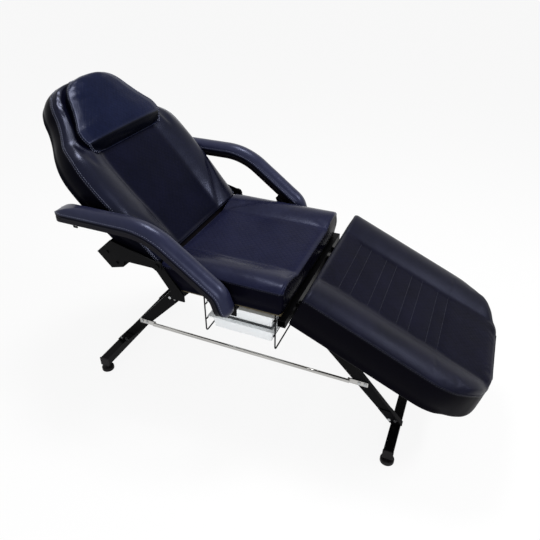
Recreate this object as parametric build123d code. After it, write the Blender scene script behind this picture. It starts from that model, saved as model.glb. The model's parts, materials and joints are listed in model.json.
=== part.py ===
from build123d import *
import math
import os

# A reclining tattoo and treatment chair. Lengths are in millimetres, angles in degrees.
# X runs from the head end to the foot end, Z is up, and the client's left is +Y.
# While it is modelled, x = 0 is the middle of the stand. At the end everything moves along X,
# so that the origin lies on the floor under the middle of the whole chair.

# Whole chair
seat_height = 585.0             # floor to the top of the seat's side rolls
cushion_width = 570.0
back_angle = 47.5               # backrest above flat
legrest_angle = 24.0            # leg rest below flat
running_gap = 0.3               # between faces that move past each other
pin_clearance = 0.05            # round a pin or a shank, on the radius
overrun = 5.0                   # how far a cut runs past what it cuts

# Upholstery, seat and leg rest, and what the backrest shares with them
pad_depth = 93.0                # padding over the board
board_depth = 12.0
board_inset = 6.0               # board edge inside the cushion's side
roll_rise = 22.0                # side rolls above the middle panel
roll_width = 50.0               # cushion side to the top of the roll
roll_slope = 85.0               # top of the roll down to the middle panel
seam_drop = 16.0                # sewn seam below the top of the roll
seam_inset = 4.0                # seam inside the widest line of the side
side_draw = 9.0                 # side drawn in to the board
joint_edge_radius = 14.0        # cushion edges that meet at a hinge

# Seat
seat_front = 178.0              # ahead of the middle of the stand
seat_rear = 228.0               # behind it
seat_front_radius = 11.0
seat_corner_radius = 16.0
seat_bevel = 59.0               # lower rear edge cut away, so the backrest can swing

# Backrest
back_length = 627.0
back_width = 584.0
back_pad_depth = 98.0
back_end_radius = 16.0
back_bevel_drop = 19.0          # hinge edge left uncut below the hinge axis
back_outline_shares = (
    (0.0, 0.952), (0.128, 0.962), (0.246, 0.979), (0.344, 0.993), (0.462, 1.0), (0.558, 0.991),
    (0.600, 0.976), (0.638, 0.952), (0.683, 0.907), (0.726, 0.849), (0.766, 0.784),
    (0.796, 0.740), (0.839, 0.688), (0.895, 0.637), (0.939, 0.572), (0.963, 0.514),
    (0.981, 0.442), (0.992, 0.353), (1.0, 0.212))
back_rail_share = 0.60          # how far up the backrest its tubes reach
neck_start = 287.0              # half width where the rolls begin to grow slim and sink
neck_end = 200.0
neck_sunk = 250.0               # half width where they have sunk
neck_sink = 17.0
neck_roll_share = 0.42          # slim roll against a full one
edge_round = 18.0               # cushion side to the top of its edge, where a roll is cut off
least_rise = 0.5                # of a roll that has faded out
roll_room_share = 0.7           # most of the half width that a roll and its slope take

# Headrest pillow
pillow_start = 405.0            # from the backrest's hinge edge
pillow_length = 210.0
pillow_width = 410.0
pillow_crown = 46.0             # thickness in the middle
pillow_end_radius = 13.0
pillow_seam = 14.0              # seam below the pillow's top
pillow_foot_share = 0.66        # flat underside against the width
pillow_outline_shares = (
    (0.0, 0.950), (0.09, 1.0), (0.24, 0.975), (0.36, 0.890), (0.5, 0.795), (0.64, 0.715),
    (0.78, 0.640), (0.89, 0.540), (0.96, 0.410), (1.0, 0.300))

# Leg rest
legrest_length = 606.0
legrest_width = 578.0
legrest_raise = 11.0            # its top above the seat's when flat
legrest_wrap = 21.0             # its sides run down past the board
legrest_gap = 20.0              # to the seat's front when flat
legrest_end_radius = 11.0
legrest_outline_shares = (
    (0.0, 1.0), (0.686, 1.0), (0.751, 0.990), (0.812, 0.955), (0.861, 0.900), (0.894, 0.848),
    (0.924, 0.785), (0.949, 0.723), (0.969, 0.650), (0.983, 0.580), (0.993, 0.520), (1.0, 0.450))
stitch_pairs = 4                # rows sewn across the middle panel, in pairs
stitch_radius = 2.0             # of the sunk line that a row leaves
stitch_sink = 1.2
stitch_first = 71.0             # from the leg rest's hinge edge
stitch_pair_pitch = 101.0
stitch_row_gap = 40.0

# Hinges
back_hinge_drop = 14.0          # backrest hinge axis below the top of the rolls
back_hinge_gap = 10.0           # between seat and backrest when flat
hinge_plate = 4.0
hinge_plate_gap = 3.0           # cushion side to the seat's hinge plate
hinge_ear_radius = 17.0
hinge_arm_width = 46.0
hinge_pin_radius = 5.0
pin_head_radius = 9.0
pin_head = 3.0
pin_flange = 1.6                # inner head, between plate and cushion
legrest_hinge_reach = 28.0      # axis ahead of the seat's front
legrest_hinge_drop = 17.0       # axis below the boards
legrest_ear_radius = 12.0
legrest_ear_place = 182.0       # from the middle to the fixed ear's inner face

# Under-frame of square tube
frame_tube = 25.0
frame_wall = 2.0
cross_tube_lead = 15.5          # front cross tube's face ahead of the seat
rail_place = 150.0              # rails and leg frames from the chair's middle plane
arm_tube_place = 10.0           # tube that carries the arm brackets, ahead of the middle
moving_tube = 20.0              # tubes on the backrest and the leg rest
moving_rail_place = 201.0

# Stand
foot_bar_reach = 550.0
foot_bar_length = 552.0
foot_tube = 32.0
foot_bar_height = 27.0          # floor to the underside of the bar
end_cap = 5.0
end_cap_lip = 1.5
glide_radius = 23.0
glide_height = 13.0
glide_inset = 10.0              # glide centre inside the bar's end
glide_chamfer = 3.0
stem_radius = 5.0
nut_radius = 9.0
nut_height = 7.0
leg_top_width = 52.0
leg_foot_width = 30.0
leg_thickness = 16.0
knee_plate = 3.0
knee_plate_length = 66.0        # along the leg
knee_bolt_spacing = 20.0
knee_lift = 15.0                # knee bolts above the bar
leg_bracket = 3.0               # plate inside each leg, under the seat's frame
leg_bracket_drop = 128.0
leg_bracket_bolt_lift = 16.0    # its bolts above its lower end
tie_radius = 12.5
tie_wall = 1.5
tie_height_share = 0.46         # between the bar and the under-frame
rod_radius = 7.0
rod_height = 197.0
rod_tab_length = 62.0
rod_tab_height = 19.0
rod_tab = 4.0
rod_bolt_spacing = 20.0

# Arms
arm_width = 62.0
arm_gap = 19.0                  # cushion side to the arm's side
arm_pad = 38.0
arm_pad_side = 16.0             # upright part of the pad's side
arm_core = 12.0
arm_core_inset = 3.0
arm_rear_run = 229.0
arm_bend_radius = 212.0
arm_bend_angle = 37.0
arm_slope_run = 182.0
arm_tip_radius = 47.0
arm_tip_angle = 35.0
arm_tip_run = 26.0
arm_taper = 82.0                # over which the pad grows thin towards its rear end
arm_rise = 128.0                # underside of the pad above the seat, at the rear
arm_bend_place = 290.0          # start of the bend behind the middle of the stand
arm_bracket = 5.0
arm_bracket_reach = 50.0
arm_bracket_length = 50.0
arm_bracket_foot = 50.0
arm_bracket_start_share = 0.70  # along the sloping run
arm_hook_drop = 24.0
arm_hook_radius = 3.0
arm_hook_place = 26.0           # from the rear end of the arm's straight run

# Beam behind the backrest's lower end
beam_start = 58.0               # from the backrest's hinge edge
beam_width = 92.0
beam_depth = 66.0
beam_wall = 3.0
beam_nose = 22.0                # lower corner cut off, to clear the seat's frame

# Trays and their hangers
tray_length = 249.0             # over the lips, along X
tray_width = 392.0              # over the lips, across the chair
tray_height = 54.0
tray_wall = 2.5
tray_lip = 13.0
tray_lip_thickness = 3.0
tray_draft = 7.0                # each wall leans in by this much
tray_pitch = 62.0
tray_clearance = 78.0           # under-frame boards to the top of the upper tray
wire_radius = 2.5
wire_bend = 12.0
hanger_gap = 1.0                # tray lip to the hanger
hanger_sink = 6.0               # hanger's cross wire below the lower tray
hanger_foot = 26.0
hanger_foot_thickness = 3.0

# Fastenings
bolt_radius = 3.0
bolt_head_radius = 5.5
bolt_head = 3.5
screw_radius = 2.5
screw_head_radius = 5.0
screw_head = 2.5

# Sizes that follow from the ones above
half_width = cushion_width / 2
legrest_half = legrest_width / 2
pad_bottom = seat_height - pad_depth
frame_top = pad_bottom - board_depth
frame_bottom = frame_top - frame_tube
cross_tube_reach = seat_front + cross_tube_lead - frame_tube / 2
hinge_x = -seat_rear - back_hinge_gap / 2
hinge_z = seat_height - back_hinge_drop
back_edge = hinge_x - back_hinge_gap / 2
back_bottom = seat_height - back_pad_depth - board_depth
legrest_hinge_x = seat_front + legrest_hinge_reach
legrest_hinge_z = frame_top - legrest_hinge_drop
legrest_edge = seat_front + legrest_gap
seat_plate_y = half_width + hinge_plate_gap
back_plate_y = seat_plate_y + hinge_plate + running_gap
arm_inner_y = half_width + arm_gap
arm_middle_y = arm_inner_y + arm_width / 2
leg_outer_y = rail_place + leg_thickness / 2
leg_slope = math.atan2(frame_bottom - foot_bar_height - foot_tube, foot_bar_reach - cross_tube_reach)


def span(x, y, z):
    """A block between two values on each axis."""
    size = [high - low for low, high in (x, y, z)]
    middle = [(low + high) / 2 for low, high in (x, y, z)]
    return Pos(*middle) * Box(*size)


def prism(points, low_y, high_y):
    """A plate in the XZ plane, from one Y to another."""
    outline = Wire.make_polygon([(x, low_y, z) for x, z in points], close=True)
    return extrude(Face(outline), amount=high_y - low_y, dir=(0, 1, 0))


def bar(start, end, radius):
    """A round bar between two points."""
    axis = Vector(*end) - Vector(*start)
    place = Plane(origin=start, z_dir=axis)
    return place * Cylinder(radius, axis.length, align=(Align.CENTER, Align.CENTER, Align.MIN))


def bore_y(x, z, radius, low_y, high_y):
    return bar((x, low_y - overrun, z), (x, high_y + overrun, z), radius)


def mirrored(piece):
    return mirror(piece, about=Plane.XZ)


def group(pieces):
    """Several separate solids kept as one node."""
    return Compound([solid for piece in pieces for solid in piece.solids()])


def pair(piece):
    return group([piece, mirrored(piece)])


def square_tube(x, y, z, wall, along):
    """A hollow tube, open at both ends of the axis it runs along."""
    inner = [(low + wall, high - wall) for low, high in (x, y, z)]
    low, high = (x, y, z)[along]
    inner[along] = (low - overrun, high + overrun)
    return span(x, y, z) - span(*inner)


def bolt(head_end, towards, length, radius=bolt_radius, head_radius=bolt_head_radius, head=bolt_head):
    """A bolt whose head sits on head_end, with its shank running towards a direction."""
    start = Vector(*head_end)
    way = Vector(*towards).normalized()
    shank = bar(start, start + way * length, radius)
    return shank + bar(start - way * head, start, head_radius)


def follow(shares, share):
    """Straight-line reading of a table of shares."""
    for (low, low_value), (high, high_value) in zip(shares, shares[1:]):
        if share <= high:
            return low_value + (high_value - low_value) * (share - low) / (high - low)
    return shares[-1][1]


def rounding(distance, radius):
    """How far a rounded edge has fallen at a distance from the end."""
    if distance >= radius:
        return 0
    return radius - math.sqrt(radius ** 2 - (radius - distance) ** 2)


def rounded_places(length, first_radius, last_radius, others):
    """Places along a cushion that follow its rounded ends and the turns of its outline."""
    quarter_shares = [1 - math.sin(math.radians(angle)) for angle in (90, 62, 40, 20, 0)]
    places = [first_radius * share for share in quarter_shares]
    places += [length - last_radius * share for share in quarter_shares]
    inner = [p for p in others if first_radius < p < length - last_radius]
    return sorted(places + inner)


def roll_section(half, drop, depth, crest, foot, rise):
    """Cross-section of a cushion whose side rolls rise above its middle. Its top is at zero."""
    seam = (half - seam_inset, -drop - seam_drop)
    shoulder = (seam[0] - (seam[0] - crest) / 4, -drop - seam_drop / 3)
    edges = [Line((side_draw - half, -depth), (half - side_draw, -depth))]
    for way in (1, -1):
        base, top = (way * (half - side_draw), -depth), (way * seam[0], seam[1])
        belly = (way * half, (seam[1] - depth) / 2)
        peak, middle = (way * crest, -drop), (way * (crest + foot) / 2, -drop - rise / 2)
        edges.append(ThreePointArc(base, belly, top))
        edges.append(ThreePointArc(top, (way * shoulder[0], shoulder[1]), peak))
        edges.append(TangentArc(peak, middle, tangent=(-way, 0)))
        edges.append(TangentArc((way * foot, -drop - rise), middle, tangent=(way, 0)))
    edges.append(Line((-foot, -drop - rise), (foot, -drop - rise)))
    return make_face(edges)


def eased(share):
    """A smooth step from 0 to 1."""
    return (1 - math.cos(math.pi * min(max(share, 0), 1))) / 2


def straight_rolls(half, full):
    """Rolls that run straight on while the outline narrows from its full half and cuts them off.

    It gives the roll's top and foot, its rise, and how far its top has sunk.
    """
    crest = full - roll_width
    foot = crest - roll_slope
    if half - edge_round >= crest:
        return crest, foot, roll_rise, 0
    rise = max(roll_rise * eased((half - edge_round - foot) / roll_slope), least_rise)
    return half - edge_round, min(foot, half - 2 * edge_round), rise, roll_rise - rise


def neck_rolls(half, full):
    """Rolls that follow the outline, and grow slim and low at the neck."""
    slim = 1 - (1 - neck_roll_share) * eased((neck_start - half) / (neck_start - neck_end))
    slim = min(slim, half * roll_room_share / (roll_width + roll_slope))
    sink = neck_sink * eased((neck_start - half) / (neck_start - neck_sunk))
    crest = half - roll_width * slim
    return crest, crest - roll_slope * slim, roll_rise - sink, sink


def rolled_cushion(start, way, level, length, depth, end_radii, corner_radius, width, outline, rolls):
    """A cushion lofted along X from its hinge edge, way being 1 or -1. Its top is at level."""
    turns = [share * length for share, value in outline]
    turns += [length - corner_radius * share for share in (0.7, 0.42, 0.2)]
    sections = []
    for place in rounded_places(length, end_radii[0], end_radii[1], turns):
        half = width / 2 * follow(outline, place / length) - rounding(length - place, corner_radius)
        drop = rounding(place, end_radii[0]) + rounding(length - place, end_radii[1])
        crest, foot, rise, sink = rolls(half, width / 2)
        plane = Plane(origin=(start + way * place, 0, level), x_dir=(0, 1, 0), z_dir=(1, 0, 0))
        sections.append(plane * roll_section(half, drop + sink, depth, crest, foot, rise))
    return loft(sections, ruled=True)


def seat_pieces():
    length = seat_front + seat_rear
    square_shares = ((0.0, 1.0), (1.0, 1.0))
    radii = (joint_edge_radius, seat_front_radius)
    cushion = rolled_cushion(-seat_rear, 1, seat_height, length, pad_depth, radii, seat_corner_radius,
                             cushion_width, square_shares, straight_rolls)
    corner = -seat_rear + seat_bevel
    wedge = prism([(-seat_rear - overrun, frame_top - overrun), (corner + overrun, frame_top - overrun),
                   (corner, frame_top), (-seat_rear, frame_top + seat_bevel),
                   (-seat_rear - overrun, frame_top + seat_bevel + overrun)],
                  -cushion_width, cushion_width)
    board = span((-seat_rear, seat_front - board_inset),
                 (side_draw + board_inset - half_width, half_width - side_draw - board_inset),
                 (frame_top, pad_bottom))
    return {"seat_cushion": cushion - wedge, "seat_board": board - wedge}


def back_wedge():
    """What is cut off the lower end of the backrest, built lying flat."""
    slope = math.radians(back_angle)
    top = hinge_z - back_bevel_drop
    run = (top - back_bottom + overrun) / math.tan(slope)
    return prism([(back_edge + overrun, top + overrun * math.tan(slope)), (back_edge, top),
                  (back_edge - run, back_bottom - overrun), (back_edge + overrun, back_bottom - overrun)],
                 -back_width, back_width)


def back_outline_face(inset, z):
    """The backrest's outline, drawn in by an inset, as a flat face."""
    points = []
    for share, value in back_outline_shares:
        reach = min(share * back_length, back_length - inset)
        points.append((back_edge - reach, value * back_width / 2 - inset))
    full = points + [(x, -y) for x, y in reversed(points)]
    return Face(Wire.make_polygon([(x, y, z) for x, y in full], close=True))


def back_pieces():
    radii = (joint_edge_radius, back_end_radius)
    cushion = rolled_cushion(back_edge, -1, seat_height, back_length, back_pad_depth, radii,
                             back_end_radius, back_width, back_outline_shares, neck_rolls)
    board = extrude(back_outline_face(side_draw + board_inset, back_bottom), amount=board_depth,
                    dir=(0, 0, 1))
    return {"back_cushion": cushion - back_wedge(), "back_board": board - back_wedge()}


def pillow_section(half, drop):
    """Cross-section of the pillow. Zero is the top of the backrest's rolls."""
    floor = running_gap - roll_rise
    top = floor + pillow_crown - drop
    foot = half * pillow_foot_share
    flank = floor + (half - foot) / roll_slope * roll_rise * 2
    seam = max(top - pillow_seam, flank + pillow_seam / 2)
    edges = [Line((-foot, floor), (foot, floor))]
    for way in (1, -1):
        edges.append(Line((way * foot, floor), (way * (half - seam_inset), flank)))
        edges.append(ThreePointArc((way * (half - seam_inset), flank), (way * half, (flank + seam) / 2),
                                   (way * (half - seam_inset / 2), seam)))
    edges.append(ThreePointArc((seam_inset / 2 - half, seam), (0, max(top, seam + seam_inset)),
                               (half - seam_inset / 2, seam)))
    return make_face(edges)


def pillow():
    turns = [share * pillow_length for share, value in pillow_outline_shares]
    sections = []
    for place in rounded_places(pillow_length, pillow_end_radius, pillow_end_radius, turns):
        half = pillow_width / 2 * follow(pillow_outline_shares, place / pillow_length)
        drop = rounding(place, pillow_end_radius) + rounding(pillow_length - place, pillow_end_radius)
        x = back_edge - pillow_start - place
        plane = Plane(origin=(x, 0, seat_height), x_dir=(0, 1, 0), z_dir=(1, 0, 0))
        sections.append(plane * pillow_section(half, drop))
    return loft(sections, ruled=True)


def legrest_board_face(hinge_inset):
    """The outline of the leg rest's board. Its hinge edge is drawn in by hinge_inset."""
    inset = side_draw + board_inset
    points = []
    for share, value in legrest_outline_shares:
        reach = min(max(share * legrest_length, hinge_inset), legrest_length - board_inset)
        points.append((legrest_edge + reach, value * legrest_half - inset))
    points[0] = (legrest_edge + hinge_inset, points[0][1])
    outline = points + [(x, -y) for x, y in reversed(points)]
    return Face(Wire.make_polygon([(x, y, frame_top) for x, y in outline], close=True))


def legrest_pieces():
    """The leg rest's cushion, whose sides hide the edge of its board, built lying flat."""
    level = seat_height + legrest_raise
    radii = (joint_edge_radius, legrest_end_radius)
    cushion = rolled_cushion(legrest_edge, 1, level, legrest_length, pad_depth + legrest_raise + legrest_wrap,
                             radii, legrest_end_radius, legrest_width, legrest_outline_shares,
                             straight_rolls)
    pocket = extrude(legrest_board_face(-overrun), amount=board_depth, dir=(0, 0, 1))
    cushion -= pocket + extrude(legrest_board_face(-overrun), amount=legrest_wrap, dir=(0, 0, -1))
    panel = legrest_half - roll_width - roll_slope
    line_z = level - roll_rise + stitch_radius - stitch_sink
    for number in range(stitch_pairs):
        for shift in (0, stitch_row_gap):
            x = legrest_edge + stitch_first + number * stitch_pair_pitch + shift
            cushion -= bar((x, -panel, line_z), (x, panel, line_z), stitch_radius)
    board = extrude(legrest_board_face(board_inset), amount=board_depth, dir=(0, 0, 1))
    return {"legrest_cushion": cushion, "legrest_board": board}


def under_frame():
    """Welded square tubes under the seat board."""
    level = (frame_bottom, frame_top)
    half = frame_tube / 2
    nodes = {}
    for name, x in (("rear", -cross_tube_reach), ("front", cross_tube_reach)):
        tube = square_tube((x - half, x + half), (-seat_plate_y, seat_plate_y), level, frame_wall, 1)
        nodes["cross_tube_" + name] = tube
    reach = cross_tube_reach - half
    rail = square_tube((-reach, reach), (rail_place - half, rail_place + half), level, frame_wall, 0)
    nodes["frame_rail_left"], nodes["frame_rail_right"] = rail, mirrored(rail)
    x = (arm_tube_place - half, arm_tube_place + half)
    middle = square_tube(x, (half - rail_place, rail_place - half), level, frame_wall, 1)
    outer = square_tube(x, (rail_place + half, seat_plate_y), level, frame_wall, 1)
    nodes["arm_cross_tubes"] = group([middle, outer, mirrored(outer)])
    return nodes


def leg_line(z):
    """How far the middle line of a leg stands out at a height."""
    return cross_tube_reach + (frame_bottom - z) / math.tan(leg_slope)


def leg_outline(trim):
    """Side view of a front leg, tapering down to the foot bar, drawn in by a trim."""
    bar_top = foot_bar_height + foot_tube
    bar_inner = foot_bar_reach - foot_tube / 2
    high = (leg_top_width / 2 - trim) / math.sin(leg_slope)
    low = (leg_foot_width / 2 - trim) / math.sin(leg_slope)
    foot = leg_line(bar_top)
    return [(cross_tube_reach - high, frame_bottom), (cross_tube_reach + high, frame_bottom),
            (foot + low, bar_top + trim), (bar_inner - trim, bar_top + trim),
            (bar_inner - trim, bar_top - (bar_inner - foot + low) * math.tan(leg_slope) + trim)]


def rod_bolt_places():
    x = leg_line(rod_height)
    return [(x - rod_bolt_spacing / 2, rod_height), (x + rod_bolt_spacing / 2, rod_height)]


def knee_bolt_places():
    z = foot_bar_height + foot_tube + knee_lift
    x = leg_line(z)
    return [(x - knee_bolt_spacing / 2, z), (x + knee_bolt_spacing / 2, z)]


def leg_bracket_bolt_places():
    z = frame_bottom - leg_bracket_drop + leg_bracket_bolt_lift
    x = leg_line(z)
    return [(x - rod_bolt_spacing / 2, z), (x + rod_bolt_spacing / 2, z)]


def leg_bracket_plate():
    """The plate on the inner face of the front left leg, from the under-frame down."""
    z = frame_bottom - leg_bracket_drop
    half = leg_foot_width / 2 / math.sin(leg_slope)
    inner = rail_place - leg_thickness / 2 - leg_bracket
    plate = prism([(cross_tube_reach - half, frame_bottom), (cross_tube_reach + half, frame_bottom),
                   (leg_line(z) + half, z), (leg_line(z) - half, z)], inner, inner + leg_bracket)
    for x, z in leg_bracket_bolt_places():
        plate -= bore_y(x, z, bolt_radius + pin_clearance, inner, inner + leg_bracket)
    return plate


def leg():
    """The front left leg: a tapering tube, open at the top where it meets the under-frame."""
    low, high = rail_place - leg_thickness / 2, leg_outer_y
    hollow = leg_outline(frame_wall)
    rise = frame_bottom + overrun
    lift = overrun / math.tan(leg_slope)
    hollow[0], hollow[1] = (hollow[0][0] - lift, rise), (hollow[1][0] - lift, rise)
    piece = prism(leg_outline(0), low, high) - prism(hollow, low + frame_wall, high - frame_wall)
    for x, z in rod_bolt_places() + knee_bolt_places() + leg_bracket_bolt_places():
        piece -= bore_y(x, z, bolt_radius + pin_clearance, low, high)
    return piece


def side_rod():
    """The left side rod, with a flat tab at each end."""
    x = leg_line(rod_height)
    reach = x + rod_bolt_spacing
    inner = leg_outer_y
    rod = bar((rod_tab_length - reach, inner + rod_radius, rod_height),
              (reach - rod_tab_length, inner + rod_radius, rod_height), rod_radius)
    tab = span((reach - rod_tab_length - rod_radius, reach), (inner, inner + rod_tab),
               (rod_height - rod_tab_height / 2, rod_height + rod_tab_height / 2))
    for x, z in rod_bolt_places():
        tab -= bore_y(x, z, bolt_radius + pin_clearance, inner, inner + rod_tab)
    return rod + tab + mirror(tab, about=Plane.YZ)


def stand():
    """Legs, foot bars and what ties them together."""
    nodes = {}
    half = foot_tube / 2
    top = foot_bar_height + foot_tube
    end = foot_bar_length / 2
    glide_y = end - glide_inset
    front_leg = leg()
    rear_leg = mirror(front_leg, about=Plane.YZ)
    nodes["leg_front_left"], nodes["leg_front_right"] = front_leg, mirrored(front_leg)
    nodes["leg_rear_left"], nodes["leg_rear_right"] = rear_leg, mirrored(rear_leg)

    tube = square_tube((foot_bar_reach - half, foot_bar_reach + half), (-end, end),
                       (foot_bar_height, top), frame_wall, 1)
    for y in (glide_y, -glide_y):
        tube -= bar((foot_bar_reach, y, foot_bar_height - overrun),
                    (foot_bar_reach, y, foot_bar_height + frame_wall + overrun),
                    stem_radius + pin_clearance)
    nodes["foot_bar_front"], nodes["foot_bar_rear"] = tube, mirror(tube, about=Plane.YZ)

    foot = leg_line(top)
    low = leg_foot_width / 2 / math.sin(leg_slope)
    rise = top + knee_plate_length * math.sin(leg_slope)
    plates = []
    for inner in (leg_outer_y, rail_place - leg_thickness / 2 - knee_plate):
        plate = prism([(foot + low, top), (leg_line(rise) + low, rise), (leg_line(rise) - low, rise),
                       (foot - low, top)], inner, inner + knee_plate)
        for x, z in knee_bolt_places():
            plate -= bore_y(x, z, bolt_radius + pin_clearance, inner, inner + knee_plate)
        plates += [plate, mirrored(plate)]
    nodes["knee_plates"] = group(plates + [mirror(plate, about=Plane.YZ) for plate in plates])
    bracket = leg_bracket_plate()
    brackets = [bracket, mirrored(bracket)]
    nodes["leg_brackets"] = group(brackets + [mirror(one, about=Plane.YZ) for one in brackets])

    caps, glides, stems = [], [], []
    for x in (-foot_bar_reach, foot_bar_reach):
        for way in (1, -1):
            y = way * glide_y
            tube_end = sorted((way * end, way * (end + end_cap)))
            reach = half + end_cap_lip
            caps.append(span((x - reach, x + reach), tube_end,
                             (foot_bar_height - end_cap_lip, top + end_cap_lip)))
            glide = Pos(x, y, glide_height / 2) * Cylinder(glide_radius, glide_height)
            glide = chamfer(glide.edges().group_by(Axis.Z)[-1], glide_chamfer)
            glides.append(glide)
            stem = bar((x, y, glide_height), (x, y, foot_bar_height + frame_wall + nut_height), stem_radius)
            nut = extrude(Pos(x, y, foot_bar_height - nut_height) * RegularPolygon(nut_radius, 6),
                          amount=nut_height)
            stems.append(stem + nut)
    nodes["foot_bar_caps"] = group(caps)
    nodes["foot_glides"] = group(glides)
    nodes["glide_stems"] = group(stems)

    z = foot_bar_height + foot_tube + (frame_bottom - foot_bar_height - foot_tube) * tie_height_share
    inner = rail_place - leg_thickness / 2
    x = leg_line(z)
    tie = bar((x, -inner, z), (x, inner, z), tie_radius)
    tie -= bar((x, -inner - overrun, z), (x, inner + overrun, z), tie_radius - tie_wall)
    nodes["leg_tie_front"], nodes["leg_tie_rear"] = tie, mirror(tie, about=Plane.YZ)

    rod = side_rod()
    nodes["side_rod_left"], nodes["side_rod_right"] = rod, mirrored(rod)
    bolts = []
    for x, z in rod_bolt_places():
        bolts.append(bolt((x, leg_outer_y + rod_tab, z), (0, -1, 0), rod_tab + leg_thickness))
    for x, z in knee_bolt_places():
        bolts.append(bolt((x, leg_outer_y + knee_plate, z), (0, -1, 0), leg_thickness + 2 * knee_plate))
    for x, z in leg_bracket_bolt_places():
        bolts.append(bolt((x, leg_outer_y, z), (0, -1, 0), leg_thickness + leg_bracket))
    bolts += [mirror(one, about=Plane.YZ) for one in bolts]
    nodes["leg_bolts"] = group(bolts + [mirrored(one) for one in bolts])
    return nodes


def seat_hinge_plate():
    """The left plate that carries the backrest, outside the seat cushion."""
    low, high = seat_plate_y, seat_plate_y + hinge_plate
    foot = frame_bottom
    rear = -cross_tube_reach - frame_tube / 2
    lift = hinge_ear_radius
    slant = lift * math.sqrt(0.5)
    plate = prism([(rear, foot), (rear + hinge_arm_width, foot), (rear + hinge_arm_width, frame_top),
                   (hinge_x + lift, hinge_z), (hinge_x, hinge_z), (hinge_x - slant, hinge_z - slant),
                   (rear, frame_top)], low, high)
    plate += bar((hinge_x, low, hinge_z), (hinge_x, high, hinge_z), lift)
    return plate - bore_y(hinge_x, hinge_z, hinge_pin_radius + pin_clearance, low, high)


def back_hinge_plate():
    """The left plate on the backrest, built lying flat, down to the beam behind it."""
    low, high = back_plate_y, back_plate_y + hinge_plate
    slope = math.radians(back_angle)
    near, far = back_edge - beam_start, back_edge - beam_start - beam_width
    run = (hinge_z - back_bevel_drop - back_bottom) / math.tan(slope)
    plate = prism([(hinge_x, hinge_z + hinge_ear_radius), (far, back_bottom + board_depth),
                   (far, back_bottom - beam_depth), (near - beam_nose, back_bottom - beam_depth),
                   (near, back_bottom - beam_nose), (back_edge - run, back_bottom),
                   (back_edge, hinge_z - back_bevel_drop), (hinge_x, hinge_z - hinge_ear_radius)],
                  low, high)
    plate += bar((hinge_x, low, hinge_z), (hinge_x, high, hinge_z), hinge_ear_radius)
    plate -= bore_y(hinge_x, hinge_z, hinge_pin_radius + pin_clearance, low, high)
    for x, z in beam_bolt_places():
        plate -= bore_y(x, z, bolt_radius + pin_clearance, low, high)
    return plate


def beam_bolt_places():
    middle = back_edge - beam_start - beam_width / 2
    z = back_bottom - beam_depth / 2
    return [(middle - beam_width / 4, z), (middle + beam_width / 4, z)]


def back_hinge_pin():
    """The left hinge pin, headed at both ends."""
    outer = back_plate_y + hinge_plate + running_gap
    pin = bar((hinge_x, seat_plate_y - pin_flange, hinge_z), (hinge_x, outer, hinge_z), hinge_pin_radius)
    pin += bar((hinge_x, seat_plate_y - pin_flange, hinge_z), (hinge_x, seat_plate_y, hinge_z),
               pin_head_radius)
    return pin + bar((hinge_x, outer, hinge_z), (hinge_x, outer + pin_head, hinge_z), pin_head_radius)


def back_beam():
    """A folded steel beam across the back of the backrest, built lying flat."""
    near, far = back_edge - beam_start, back_edge - beam_start - beam_width
    floor = back_bottom - beam_depth
    wall = beam_wall
    outer = [(near, back_bottom), (far, back_bottom), (far, floor), (near - beam_nose, floor),
             (near, back_bottom - beam_nose)]
    inner = [(near - wall, back_bottom - wall), (far + wall, back_bottom - wall), (far + wall, floor + wall),
             (near - beam_nose - wall / 2, floor + wall), (near - wall, back_bottom - beam_nose - wall / 2)]
    end = back_plate_y
    shell = prism(outer, -end, end) - prism(inner, wall - end, end - wall)
    for x, z in beam_bolt_places():
        shell -= bore_y(x, z, bolt_radius + pin_clearance, -end, end)
    return shell


def back_carriers():
    """Steel parts behind the backrest, built lying flat."""
    nodes = {}
    plate, pin = back_hinge_plate(), back_hinge_pin()
    nodes["back_hinge_plate_left"], nodes["back_hinge_plate_right"] = plate, mirrored(plate)
    nodes["back_beam"] = back_beam()
    near, far = back_edge - beam_start, back_edge - beam_start - beam_width
    half = moving_tube / 2
    end = back_edge - back_length * back_rail_share
    level = (back_bottom - moving_tube, back_bottom)
    rail = square_tube((end, far), (moving_rail_place - half, moving_rail_place + half), level,
                       frame_wall, 0)
    nodes["back_rail_left"], nodes["back_rail_right"] = rail, mirrored(rail)
    reach = moving_rail_place - half
    nodes["back_cross_tube"] = square_tube((end, end + moving_tube), (-reach, reach), level, frame_wall, 1)
    bolts = []
    for x, z in beam_bolt_places():
        one = bolt((x, back_plate_y + hinge_plate, z), (0, -1, 0), hinge_plate + beam_wall + bolt_head)
        bolts += [one, mirrored(one)]
    nodes["beam_bolts"] = group(bolts)
    return nodes, pin


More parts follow.
